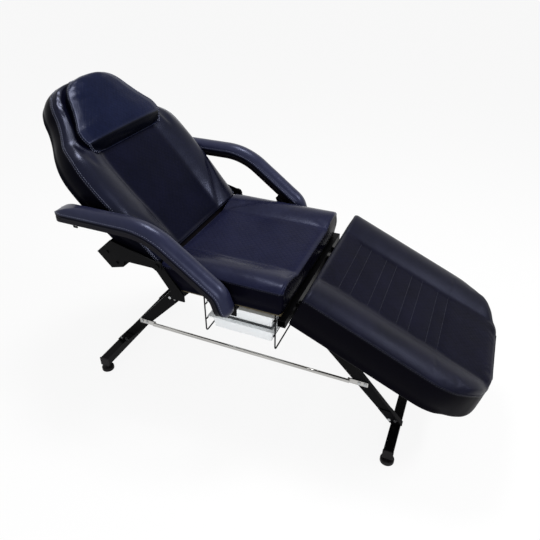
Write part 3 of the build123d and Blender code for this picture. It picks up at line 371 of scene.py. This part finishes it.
def mouldedPlastic(name, dark, pale, roughness, grain, shine=0.5, broad=125):
    # Injection-moulded plastic: an even colour with a fine spark-eroded texture. The texture is about
    # 0.2 mm across and drawn at grain, in mm, so that it shows. Broad is the drift of the colour, in mm.
    material, tree, shader = newMaterial(name)
    place = addNode(tree, "ShaderNodeTexCoord").outputs["Object"]
    texture = addNode(tree, "ShaderNodeTexNoise", inputs={
        "Vector": place, "Scale": 1 / (grain * mm), "Detail": 2.0})
    drift = addNode(tree, "ShaderNodeTexNoise", inputs={
        "Vector": place, "Scale": 1 / (broad * mm), "Detail": 3.0})
    colour = addNode(tree, "ShaderNodeValToRGB", inputs={"Fac": drift.outputs["Fac"]},
                     stops=[(0.3, dark), (0.7, pale)])
    bump = addNode(tree, "ShaderNodeBump", inputs={
        "Strength": 0.2, "Distance": 0.3 * mm, "Height": texture.outputs["Fac"]})
    fillInputs(tree, shader, {"Base Color": colour.outputs[0], "Normal": bump.outputs[0],
                              "Roughness": roughness, "Specular IOR Level": shine})
    return material


covers = {name: artificialLeather(name, **values) for name, values in vinyls.items()}
# Both threads are black: the seam thread's pale grey-blue is painted highlight on its glossy ridge, and the
# row thread is lightened a little the same way
highlitSeamThread = spunThread("highlitSeamThread", "#55596c", "#868ba2")
rowThread = spunThread("rowThread", "#1d1e29", "#343644")
powder = powderCoat("blackPowderCoat")
slotMaterials = {
    "vinyl": covers["bandVinyl"],
    "plywood": birchPlywood("seatPlywood", 0),
    "black_steel": powder,
    "chrome": platedMetal("brightChrome", "#8f8e8c", "#d4d3d0", 0.10, (167, 1.11, 1.11)),
    "zinc": platedMetal("brightZinc", "#9a9c9e", "#c9cbcc", 0.26, (2, 2, 2)),
    "glide_plastic": mouldedPlastic("blackPolyamide", "#0b090b", "#131013", 0.5, 1.6, shine=0.12),
    "tray_plastic": mouldedPlastic("whitePolystyrene", "#f4f9fc", "#fdfeff", 0.34, 2.0),
}
nodeMaterials = {
    "back_board": birchPlywood("backPlywood", -backHinge[2]),
    "legrest_board": birchPlywood("legrestPlywood", legrestHinge[2]),
    "back_hinge_pins": powder,      # blackened, as the beam's bolts are
    "beam_bolts": powder,
}
nodeSlots = {part["node"]: part["material_slot"] for part in frame["record"]["subparts"]}
for name, nodeObject in nodes.items():
    nodeObject.data.materials.clear()
    nodeObject.data.materials.append(nodeMaterials.get(name, slotMaterials[nodeSlots[name]]))

print("stage: seat, backrest and leg rest")

rolls = {                  # mm
    "rise": 22,            # rolls over the middle panel
    "width": 50,           # cushion side to the top of a roll
    "slope": 85,           # top of a roll down to the panel
    "slopePower": 1.9, "shoulderPower": 2.3,
    "seamDrop": 16,        # side seam under the top of a roll
    "seamInset": 4,        # and inside the cushion's side
    "margin": 18,          # least room between the top of a roll and the side
    "edgeSink": 0.75,      # how far the ends follow their rounding
    "wallOut": 21, "wallIn": 26,           # walls stand out in the middle and draw in to the board
    "flareFrom": 0.8,      # share of the length where a flare starts
    "panelOver": 10, "panelFade": 22,      # how far the panel reaches up the rolls, and fades
    "panelEnd": 3, "panelEndFade": 10,     # where it starts from the cover's ends, and fades
}
neck = {                   # starts where half the width is 287 mm, and slims over the next 87 mm
    "start": 287, "slimOver": 87, "slimBy": 0.58, "endSlim": 0.7, "endHalf": 135, "sink": 17, "sinkOver": 37,
}
foam = {
    "pressure": 4, "frames": 20,           # push on the cover, and how long it settles
    "fill": 0.9,                           # 0 is a slack cushion and 1 a tight one
}
sewing = {                 # mm
    "pitch": 7.5, "length": 5.6, "radius": 0.75,      # of one stitch
    "rowSpread": 7, "rowSides": (-4, 0, 4),           # how wide a sewn row pulls the cover in, and its grid
}


def eased(share):
    return (1 - math.cos(math.pi * min(max(share, 0), 1))) / 2


def rounding(distance, radius):
    # how far a quarter round has drawn in at a distance from its end
    if distance >= radius:
        return 0
    return radius - math.sqrt(max(radius ** 2 - (radius - max(distance, 0)) ** 2, 0))


def follow(table, share):
    # smooth reading of a table of shares
    last = len(table) - 1
    at = next((i for i in range(last) if share <= table[i + 1][0]), last - 1)
    low, high = table[at], table[at + 1]
    before, after = table[max(at - 1, 0)], table[min(at + 2, last)]
    width = high[0] - low[0]
    t = min(max((share - low[0]) / width, 0), 1)
    startSlope = (high[1] - before[1]) / (high[0] - before[0]) * width
    endSlope = (after[1] - low[1]) / (after[0] - low[0]) * width
    return ((2 * t ** 3 - 3 * t ** 2 + 1) * low[1] + (t ** 3 - 2 * t ** 2 + t) * startSlope
            + (3 * t ** 2 - 2 * t ** 3) * high[1] + (t ** 3 - t ** 2) * endSlope)


def halfAt(form, u):
    # half the width at u mm along the cover
    half = form["width"] / 2 * follow(form["outline"], u / form["length"])
    for edge, radius in ((u, form["corners"][0]), (form["length"] - u, form["corners"][1])):
        half -= rounding(edge, radius)
    return half


def outward(form, u):
    # way out of the outline in plan
    low, high = max(u - 0.5, 0), min(u + 0.5, form["length"])
    slope = (halfAt(form, high) - halfAt(form, low)) / (high - low)
    size = math.hypot(slope, 1)
    return -slope / size, 1 / size


def stationsAlong(form, extra=(), ends=(1.5, 4, 7.5, 12), count=1200):
    # places along a cover, evenly spaced round its outline, closer at its ends and sewn rows
    length, step = form["length"], form["step"]
    room = step * 0.45      # least distance to a wanted place
    run, previous, marks = 0, None, []
    for number in range(count + 1):
        u = length * number / count
        point = (u, halfAt(form, u))
        if previous:
            run += math.dist(point, previous)
            if run >= step:
                marks.append(u)
                run = 0
        previous = point
    wanted = [*ends, *(length - d for d in ends), *extra]
    kept = [m for m in marks if 1 < m < length - 1 and all(abs(m - w) > room for w in wanted)]
    return sorted([0.0, length, *kept, *wanted])


def spacedAcross(count, closer=0.12):
    # shares from -1 to 1 across a cover, a little closer at its sides
    shares = [2 * number / count - 1 for number in range(count + 1)]
    return [t * (1 + closer * (1 - t * t)) for t in shares]


def griddedBlock(columns, rows, layers):
    block = bmesh.new()
    bmesh.ops.create_cube(block, size=1)
    for axis, cuts in enumerate((columns, rows, layers)):
        along = [e for e in block.edges if abs((e.verts[0].co - e.verts[1].co)[axis]) > 0.9]
        bmesh.ops.subdivide_edges(block, edges=along, cuts=cuts - 1, use_grid_fill=True)
    return block


def ringPlaces(columns, rows):
    # the places round the edge of a grid, in order, and last those along its first end
    places = [(i, 0) for i in range(columns)] + [(columns, j) for j in range(rows)]
    return places + [(i, rows) for i in range(columns, 0, -1)] + [(0, j) for j in range(rows, 0, -1)]


def coverMesh(name, stations, shares, layers, put):
    # a closed skin on a grid: put gives each corner its place in mm, its share in the panel and in the
    # walls' painted shade, and whether it is held
    columns, rows = len(stations) - 1, len(shares) - 1
    block = griddedBlock(columns, rows, layers)
    panelLayer = block.verts.layers.float.new("panel")
    # the wall share carries the walls' painted shade into the cover's material
    wallLayer = block.verts.layers.float.new("wall")
    heldLayer = block.verts.layers.int.new("held")
    grid = {}
    for vert in block.verts:
        i = round((vert.co.x + 0.5) * columns)
        j = round((vert.co.y + 0.5) * rows)
        k = round((0.5 - vert.co.z) * layers)
        spot = {"u": stations[i], "share": shares[j], "t": k / layers, "first": i == 0, "last": i == columns,
                "side": j in (0, rows), "top": k == 0, "bottom": k == layers}
        spot["rim"] = spot["first"] or spot["last"] or spot["side"]
        place, panel, wall, held = put(spot)
        vert.co = Vector(place) * mm
        vert[panelLayer], vert[wallLayer], vert[heldLayer] = panel, wall, 1 if held else 0
        grid[(i, j, k)] = vert
    flatLayer = block.loops.layers.uv.new("flat")
    for face in block.faces:
        face.smooth = True
        face.normal_update()
        steep = abs(face.normal.z) < 0.5
        along = 1 if abs(face.normal.x) > abs(face.normal.y) else 0
        for corner in face.loops:
            co = corner.vert.co
            corner[flatLayer].uv = (co[along], co.z) if steep else (co.x, co.y)
    bmesh.ops.recalc_face_normals(block, faces=block.faces)
    block.verts.index_update()
    ring = ringPlaces(columns, rows)
    inward = [(min(max(i, 1), columns - 1), min(max(j, 1), rows - 1)) for i, j in ring]
    loops = {"seam": [grid[(i, j, 0)].index for i, j in ring],
             "inside": [grid[(i, j, 0)].index for i, j in inward],
             "below": [grid[(i, j, 1)].index for i, j in ring]}
    mesh = bpy.data.meshes.new(name)
    block.to_mesh(mesh)
    block.free()
    return mesh, loops


def puffUp(mesh, limit):
    # foam pressing out against the cover: seams and sewn rows hold, the rest swells up to a limit
    held = [i for i, item in enumerate(mesh.attributes["held"].data) if item.value]
    piece = bpy.data.objects.new("cover", mesh)
    scene.collection.objects.link(piece)
    piece.vertex_groups.new(name="held").add(held, 1.0, "REPLACE")
    cloth = piece.modifiers.new("cover", "CLOTH")
    settings = cloth.settings
    settings.quality = 5
    settings.mass = 0.3
    settings.tension_stiffness = settings.compression_stiffness = 12
    settings.shear_stiffness = 8
    settings.bending_stiffness = 1.5
    settings.use_pressure = True
    settings.uniform_pressure_force = foam["pressure"]
    settings.vertex_group_mass = "held"
    settings.effector_weights.gravity = 0
    cloth.point_cache.frame_start = 1
    cloth.point_cache.frame_end = foam["frames"]
    for number in range(1, foam["frames"] + 1):
        scene.frame_set(number)
    evaluated = piece.evaluated_get(bpy.context.evaluated_depsgraph_get())
    moves = [new.co - old.co for new, old in zip(evaluated.data.vertices, mesh.vertices)]
    piece.modifiers.remove(cloth)
    scene.frame_set(1)
    for vert, move in zip(mesh.vertices, moves):
        size = move.length
        if size > 1e-9:
            vert.co += move * (limit * math.tanh(size / limit) / size)
    bpy.data.objects.remove(piece)
    mesh.update()


def soften(mesh, depth, size, seed, fineShare=0.3):
    # slight unevenness of foam and cover, gone at the seams
    held = [item.value for item in mesh.attributes["held"].data]
    normals = [v.normal.copy() for v in mesh.vertices]
    for vert, normal, fixed in zip(mesh.vertices, normals, held):
        if not fixed:
            wave = noise.noise(vert.co / size + Vector((seed, 0, 0)))
            fine = noise.noise(vert.co / (size * fineShare) + Vector((0, seed, 0)))
            vert.co += normal * (depth * ((1 - fineShare) * wave + fineShare * fine))
    mesh.update()


def finishPiece(name, mesh, material, body):
    piece = bpy.data.objects.new(name, mesh)
    scene.collection.objects.link(piece)
    mesh.materials.append(material)
    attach(piece, body)
    return piece


def seamLine(mesh, loops, matrix, offset=0):
    # the seam, or a line beside it: over 0 on the top, under 0 down the wall, in mm
    toward = "inside" if offset > 0 else "below"
    line = []
    for a, b in zip(loops["seam"], loops[toward]):
        start = mesh.vertices[a].co
        way = (mesh.vertices[b].co - start).normalized()
        line.append(matrix @ (start + way * abs(offset) * mm))
    return line


def evenly(points, pitch, closed):
    # points at an even pitch along a line, each with the line's direction
    path = points + [points[0]] if closed else points
    lengths = [(b - a).length for a, b in zip(path, path[1:])]
    count = max(int(sum(lengths) / (pitch * mm)), 1)
    pitch = sum(lengths) / count
    found, travelled, index = [], 0, 0
    for number in range(count):
        target = (number + 0.5) * pitch
        while index < len(lengths) - 1 and travelled + lengths[index] < target:
            travelled += lengths[index]
            index += 1
        share = (target - travelled) / max(lengths[index], 1e-9)
        a, b = path[index], path[index + 1]
        found.append((a.lerp(b, share), (b - a).normalized()))
    return found


def stitches(name, lines, thread, body, closed=False):
    # short raised threads, one low bead each
    work = bmesh.new()
    shape = Matrix.Diagonal((sewing["length"] / 2 * mm, sewing["radius"] * mm, sewing["radius"] * mm, 1))
    for line in lines:
        for point, way in evenly(line, sewing["pitch"], closed):
            turn = way.to_track_quat("X", "Z").to_matrix().to_4x4()
            bmesh.ops.create_icosphere(work, subdivisions=1, radius=1,
                                       matrix=Matrix.Translation(point) @ turn @ shape)
    for face in work.faces:
        face.smooth = True
    mesh = bpy.data.meshes.new(name)
    work.to_mesh(mesh)
    work.free()
    finishPiece(name, mesh, thread, body)


def welt(name, points, radius, material, body):
    # the round edge of a sewn seam, swept along it
    curve = bpy.data.curves.new(name, "CURVE")
    curve.dimensions = "3D"
    curve.bevel_depth = radius * mm
    curve.bevel_resolution = 2
    spline = curve.splines.new("POLY")
    spline.points.add(len(points) - 1)
    for place, point in zip(spline.points, points):
        place.co = (*point, 1)
    spline.use_cyclic_u = True
    holder = bpy.data.objects.new(name, curve)
    scene.collection.objects.link(holder)
    mesh = bpy.data.meshes.new_from_object(holder.evaluated_get(bpy.context.evaluated_depsgraph_get()))
    bpy.data.objects.remove(holder)
    bpy.data.curves.remove(curve)
    for polygon in mesh.polygons:
        polygon.use_smooth = True
    finishPiece(name, mesh, material, body)


def chairPlace(form):
    # from a cover's own frame, u along and its top at zero, to its place in the chair
    x, z, angle = form["hinge"]
    at = Matrix.Translation(Vector((x * mm + standMiddle, 0, z * mm)))
    turn = Matrix.Rotation(math.radians(angle), 4, "Y")
    back = Matrix.Translation(Vector(((form["edge"] - x) * mm, 0, (form["level"] - z) * mm)))
    return at @ turn @ back @ Matrix.Diagonal((form["way"], 1, 1, 1))


def sewCushion(name, stem, form, stations, put, place, node):
    # a padded piece with the round edge of its seam and the stitches beside it
    mesh, loops = coverMesh(name, stations, spacedAcross(form["across"]), form["layers"], put)
    puffUp(mesh, form["swell"] * mm)
    depth, size, seed = form["uneven"]
    soften(mesh, depth * mm, size * mm, seed)
    seam = seamLine(mesh, loops, place)
    stitchEnd = None if form["stitchedRound"] else -form["across"]      # none along the hinge
    beside = [seamLine(mesh, loops, place, offset)[:stitchEnd] for offset in form["topstitch"]]
    mesh.transform(place)
    if place.is_negative:
        mesh.flip_normals()
    material = covers[form["cover"]]
    piece = finishPiece(name, mesh, material, form["body"])
    subdivision = piece.modifiers.new("smooth", "SUBSURF")
    subdivision.levels = subdivision.render_levels = 1
    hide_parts(node)
    welt(stem + "Welt", seam, form["welt"], material, form["body"])
    stitches(stem + "Stitches", beside, form["thread"], form["body"], form["stitchedRound"])


def straightRolls(form, half):
    # crest, foot, rise and sink of rolls that the outline cuts off
    crest = form["width"] / 2 - rolls["width"]
    foot = crest - rolls["slope"]
    room = half - rolls["margin"]
    if room >= crest:
        return crest, foot, rolls["rise"], 0
    rise = max(rolls["rise"] * eased((room - foot) / rolls["slope"]), 0.5)
    return room, min(foot, room - rolls["margin"]), rise, rolls["rise"] - rise


def neckRolls(form, half):
    # rolls that follow the outline and grow slim and low at the neck
    narrower = neck["start"] - half
    slim = min(1 - neck["slimBy"] * eased(narrower / neck["slimOver"]),
               half * neck["endSlim"] / neck["endHalf"])
    sink = neck["sink"] * eased(narrower / neck["sinkOver"])
    crest = half - rolls["width"] * slim
    return crest, crest - rolls["slope"] * slim, rolls["rise"] - sink, sink


def rolledTop(form, u, y):
    half = halfAt(form, u)
    crest, foot, rise, sink = form["rolls"](form, half)
    across = abs(y)
    if across <= crest:
        height = -sink - rise * min((crest - across) / (crest - foot), 1) ** rolls["slopePower"]
    else:
        t = min((across - crest) / max(half - rolls["seamInset"] - crest, 1), 1)
        height = -sink - rolls["seamDrop"] * t ** rolls["shoulderPower"]
    ends = zip((u, form["length"] - u), form["edges"])
    return height - rolls["edgeSink"] * sum(rounding(distance, radius) for distance, radius in ends)


def rolledPut(form):
    rows, length = form["rows"], form["length"]

    def put(spot):
        u, share, t, rim = spot["u"], spot["share"], spot["t"], spot["rim"]
        half = halfAt(form, u)
        seam = half - rolls["seamInset"]
        y = share * seam
        top, bottom = rolledTop(form, u, y), -form["bottom"](u)
        sewn = spot["top"] and rows and abs(y) < form["rowReach"]
        nearest = min((abs(u - row) for row in rows), default=length)
        x, z = u, top + (bottom - top) * t
        flare = form["flare"] * eased((u / length - rolls["flareFrom"]) / (1 - rolls["flareFrom"]))
        swell = rolls["wallOut"] * t - (rolls["wallIn"] - flare) * t * t
        if sewn and not rim:
            z -= form["rowSink"] * max(0, 1 - nearest / sewing["rowSpread"])
        elif spot["bottom"] and not rim:
            y = share * (seam + swell)
        elif rim:
            sideX, sideY = outward(form, u)
            if spot["side"]:
                y += math.copysign(sideY * swell, share)
                x += sideX * swell * (not spot["first"])
            elif spot["bottom"]:
                y = share * (seam + sideY * swell)
            if spot["first"]:
                x -= form["endSwell"][0] * math.sin(math.pi * t)
            if spot["last"] and not spot["side"]:
                x += form["endSwell"][1] * math.sin(math.pi * t) + sideX * max(swell, 0) * t * (flare > 0)
        foot = form["rolls"](form, half)[1]
        panel = (eased((foot + rolls["panelOver"] - abs(y)) / rolls["panelFade"])
                 * eased((min(u, length - u) - rolls["panelEnd"]) / rolls["panelEndFade"]))
        held = rim or spot["bottom"] or (sewn and nearest < 1)
        return (x, y, z), panel * spot["top"], 1 - spot["top"], held

    return put


# In a form, lengths are in mm, an outline is shares of the length and of the width, and uneven is the
# depth and size of the unevenness with its seed. Way is 1 for a cover that runs to the feet, -1 to the head.
seatForm = {
    "cover": "seatVinyl", "body": "base", "hinge": (0, 0, 0), "edge": -228, "level": 585, "way": 1,
    "length": 406, "width": 570, "corners": (3, 12), "edges": (5, 8), "flare": 0, "endSwell": (5, 2),
    "outline": ((0.0, 1.0), (0.5, 1.0), (1.0, 1.0)), "rolls": straightRolls,
    "bottom": lambda u: min(93, 46 + u),
    "step": 8, "across": 76, "layers": 9, "swell": 3, "uneven": (0.9, 90, 4.06),
    "topstitch": (-4,), "thread": rowThread, "stitchedRound": False, "welt": 1.3, "rows": (),
}
backForm = {
    "cover": "backVinyl", "body": "backrest", "hinge": backHinge, "edge": -238, "level": 585, "way": -1,
    "length": 627, "width": 584, "corners": (3, 11), "edges": (6, 12), "flare": 0, "endSwell": (5, 1.5),
    "outline": ((0.0, 0.952), (0.128, 0.962), (0.246, 0.979), (0.344, 0.993), (0.462, 1.0), (0.558, 0.991),
                (0.600, 0.976), (0.638, 0.952), (0.683, 0.907), (0.726, 0.849), (0.766, 0.784),
                (0.796, 0.740), (0.839, 0.688), (0.895, 0.637), (0.939, 0.572), (0.963, 0.514),
                (0.981, 0.442), (0.992, 0.353), (1.0, 0.212)),
    "rolls": neckRolls,
    "bottom": lambda u: min(98, 33 + u * math.tan(math.radians(backHinge[2]))),
    "step": 8.5, "across": 76, "layers": 9, "swell": 3, "uneven": (0.9, 90, 6.27),
    "topstitch": (3.2, -3.2), "thread": highlitSeamThread, "stitchedRound": False, "welt": 1.3, "rows": (),
}
legrestForm = {
    "cover": "legrestVinyl", "body": "legrest", "hinge": legrestHinge, "edge": 198, "level": 596, "way": 1,
    "length": 606, "width": 578, "corners": (3, 7), "edges": (12, 8), "flare": 24, "endSwell": (2, 3),
    "outline": ((0.0, 1.0), (0.343, 1.0), (0.686, 1.0), (0.751, 0.990), (0.812, 0.955), (0.861, 0.900),
                (0.894, 0.848), (0.924, 0.785), (0.949, 0.723), (0.969, 0.650), (0.983, 0.580),
                (0.993, 0.520), (1.0, 0.450)),
    "rolls": straightRolls, "bottom": lambda u: 125,
    "step": 8.5, "across": 76, "layers": 11, "swell": 3, "uneven": (0.9, 90, 6.06),
    "topstitch": (-4,), "thread": rowThread, "stitchedRound": False, "welt": 1.3,
    "rows": (71, 111, 172, 212, 273, 313, 374, 414), "rowReach": 146, "rowSink": 1.3,     # sewn rows
}
for stem, form in (("seat", seatForm), ("back", backForm), ("legrest", legrestForm)):
    closer = [row + side for row in form["rows"] for side in sewing["rowSides"]]
    place = chairPlace(form)
    sewCushion(stem + "Cushion", stem, form, stationsAlong(form, closer), rolledPut(form), place,
               stem + "_cushion")
    if form["rows"]:
        reach, z = form["rowReach"], -rolls["rise"] - form["rowSink"] + sewing["radius"]
        sewnRows = [[place @ (Vector((row, y, z)) * mm) for y in (-reach, reach)] for row in form["rows"]]
        stitches(stem + "Rows", sewnRows, rowThread, form["body"])

print("stage: headrest pillow")

pillowForm = {
    "cover": "pillowVinyl", "body": "pillow", "hinge": backHinge, "way": -1,
    "edge": backForm["edge"] - 381, "level": backForm["level"],      # lies 381 mm up the backrest
    "length": 234, "width": 410, "corners": (14, 8), "endRound": 13,
    "outline": ((0.0, 0.87), (0.05, 0.915), (0.11, 0.955), (0.183, 0.99), (0.318, 0.975), (0.426, 0.89),
                (0.551, 0.795), (0.677, 0.715), (0.803, 0.64), (0.901, 0.54), (0.964, 0.41), (1.0, 0.30)),
    "floor": -21.7, "foot": 0.62, "lift": 17,      # underside: level, share that lies flat, rise at the sides
    "crown": 46, "seam": 14, "seamOver": 5,        # top over the floor, seam under it and over the lift
    "crownPower": 4, "endSink": 0.8, "thinnest": 2, "inset": 2, "bulge": 9,
    "front": 30, "frontDrop": 36, "frontPower": 1.25, "frontSeam": 0.4,      # slope at its front
    "panelInset": 20, "panelFade": 14, "panelEnd": 2, "panelEndFade": 8, "frontShadeFade": 6,
    "step": 7, "across": 60, "layers": 6, "swell": 3, "uneven": (0.9, 60, 7.3),
    "topstitch": (3.2, -3.2), "thread": highlitSeamThread, "stitchedRound": False, "welt": 1.1,
}


def pillowPut(spot):
    form = pillowForm
    u, share, t = spot["u"], spot["share"], spot["t"]
    half, toEnd = halfAt(form, u), form["length"] - u
    x, y = u, share * (half - form["inset"])
    under = form["floor"] + form["lift"] * max((abs(share) - form["foot"]) / (1 - form["foot"]), 0)
    front = form["frontDrop"] * max(1 - u / form["front"], 0) ** form["frontPower"]
    top = form["floor"] + form["crown"] - front - form["endSink"] * rounding(toEnd, form["endRound"])
    seam = max(top - form["seam"],
               form["floor"] + form["lift"] + form["seamOver"] - front * form["frontSeam"])
    top = max(seam + max(top - seam, 1) * (1 - abs(share) ** form["crownPower"]), under + form["thinnest"])
    z = top + (under - top) * t
    bulge = form["bulge"] * t * (1 - t)
    sideX, sideY = outward(form, u)
    if spot["side"]:
        y += math.copysign(sideY * bulge, share)
        x += sideX * bulge * (not spot["first"])
    if spot["last"]:
        x += bulge
    panel = (eased((half - form["panelInset"] - abs(y)) / form["panelFade"])
             * eased((min(u - form["front"], toEnd) - form["panelEnd"]) / form["panelEndFade"]))
    # painted shade: the pillow's front slope takes the walls' dark colour
    dark = eased((form["front"] + 1 - u) / form["frontShadeFade"]) if spot["top"] else 1
    return (x, y, z), panel * spot["top"], dark, spot["rim"] or spot["bottom"]


sewCushion("headPillow", "pillow", pillowForm, stationsAlong(pillowForm), pillowPut, chairPlace(pillowForm),
           "headrest_pillow")

print("stage: armrests")

armForm = {
    "cover": "armVinyl", "body": "base", "middle": 335, "half": 31,
    # line of the underside: start, bend down to the front, slope, and the tip
    "level": 713, "rear": -519, "bend": -290, "bendRadius": 212, "bendAngle": 37, "slope": 182,
    "tipRadius": 47, "tipAngle": 35, "tip": 26,
    "side": 15, "pad": 40, "bulge": 3,                  # height at the sides and in the middle
    "taper": 120, "thinnest": 5, "point": 50, "blunt": 0.012,      # pointed rear end
    "ends": (1, 3, 6, 10, 15, 21), "endRoom": 27, "stations": 84,
    "across": 22, "layers": 4, "swell": 2, "uneven": (0.8, 50, 3.1),
    "topstitch": (3,), "thread": highlitSeamThread, "stitchedRound": True, "welt": 1.1,
}
# straight and bent runs of the underside: length and radius, 0 where straight
armRuns = [
    (armForm["bend"] - armForm["rear"], 0),
    (math.radians(armForm["bendAngle"]) * armForm["bendRadius"], armForm["bendRadius"]),
    (armForm["slope"], 0),
    (math.radians(armForm["tipAngle"]) * armForm["tipRadius"], armForm["tipRadius"]),
    (armForm["tip"], 0),
]
armLength = sum(length for length, radius in armRuns) + 2 * armForm["half"]


def armPath(s):
    # point of the underside and its heading, s mm along from the rear round, and straight on past the tip
    x, z, heading = armForm["rear"], armForm["level"], 0.0
    for run in armRuns:
        length, radius = run
        step = s if run is armRuns[-1] else min(s, length)
        if radius:
            turned = heading + step / radius
            x += radius * (math.sin(turned) - math.sin(heading))
            z -= radius * (math.cos(heading) - math.cos(turned))
            heading = turned
        else:
            x += step * math.cos(heading)
            z -= step * math.sin(heading)
        s -= step
    return x, z, heading


def armHalf(u):
    front = min((armLength - u) / armForm["half"], 1)
    rear = min(u / armForm["point"], 1)
    return armForm["half"] * math.sqrt(max(1 - (1 - min(front, rear)) ** 2, armForm["blunt"]))


def armPut(spot):
    form = armForm
    u, share, t = spot["u"], spot["share"], spot["t"]
    y = share * armHalf(u)
    fromEnd = max(form["half"] - (armLength - u), 0)
    radial = min(math.hypot(fromEnd, y), form["half"]) if fromEnd else abs(share) * form["half"]
    crown = form["pad"] - form["side"]
    arc = (form["half"] ** 2 + crown ** 2) / (2 * crown)
    thin = math.sqrt(1 - (1 - min(u / form["taper"], 1)) ** 2)
    top = min(form["side"] + math.sqrt(arc ** 2 - radial ** 2) - (arc - crown),
              max(form["pad"] * thin, form["thinnest"]))
    z = top * (1 - t)
    if spot["rim"] and not spot["top"]:
        y *= 1 + form["bulge"] * (math.sin(math.pi * t) - t) / form["half"]
    x, level, heading = armPath(max(u - form["half"], 0))
    x -= max(form["half"] - u, 0)
    return ((x + z * math.sin(heading), y, level + z * math.cos(heading)), 0, 1 - spot["top"],
            spot["rim"] or spot["bottom"])


armStep = (armLength - 2 * armForm["endRoom"]) / armForm["stations"]
armStations = sorted([0, armLength, *armForm["ends"], *(armLength - d for d in armForm["ends"]),
                      *(armForm["endRoom"] + armStep * n for n in range(armForm["stations"] + 1))])
for node, name, side in (("arm_pad_left", "armPadLeft", 1), ("arm_pad_right", "armPadRight", -1)):
    depth, size, seed = armForm["uneven"]
    place = Matrix.Translation(Vector((standMiddle, side * armForm["middle"] * mm, 0)))
    sewCushion(name, name, armForm | {"uneven": (depth, size, seed + side)}, armStations, armPut, place, node)

print("stage: soft strip in the crease between seat and backrest")

creaseForm = {
    "half": 266, "seat": (-224, 549), "back": (-252, 562), "sag": 6, "thick": 9,      # mm, edges at x and z
    "blendLevel": 0.56,      # metres
    "steps": 12, "across": 40, "layers": 2,
}


def creasePut(spot):
    form = creaseForm
    across = spot["u"] / form["steps"]
    (startX, startZ), (endX, endZ) = form["seat"], form["back"]
    x = startX + (endX - startX) * across
    z = startZ + (endZ - startZ) * across - form["sag"] * math.sin(math.pi * across)
    # wall share 1: the strip takes the walls' painted shade in full, as the shade deep in the crease
    return (x, spot["share"] * form["half"], z - form["thick"] * spot["t"]), 0, 1, True


mesh, loops = coverMesh("creaseStrip", range(creaseForm["steps"] + 1), spacedAcross(creaseForm["across"]),
                        creaseForm["layers"], creasePut)
mesh.transform(Matrix.Translation(Vector((standMiddle, 0, 0))))
mesh.materials.append(covers["bandVinyl"])
creaseStrip = bpy.data.objects.new("creaseStrip", mesh)
scene.collection.objects.link(creaseStrip)
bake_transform(creaseStrip)
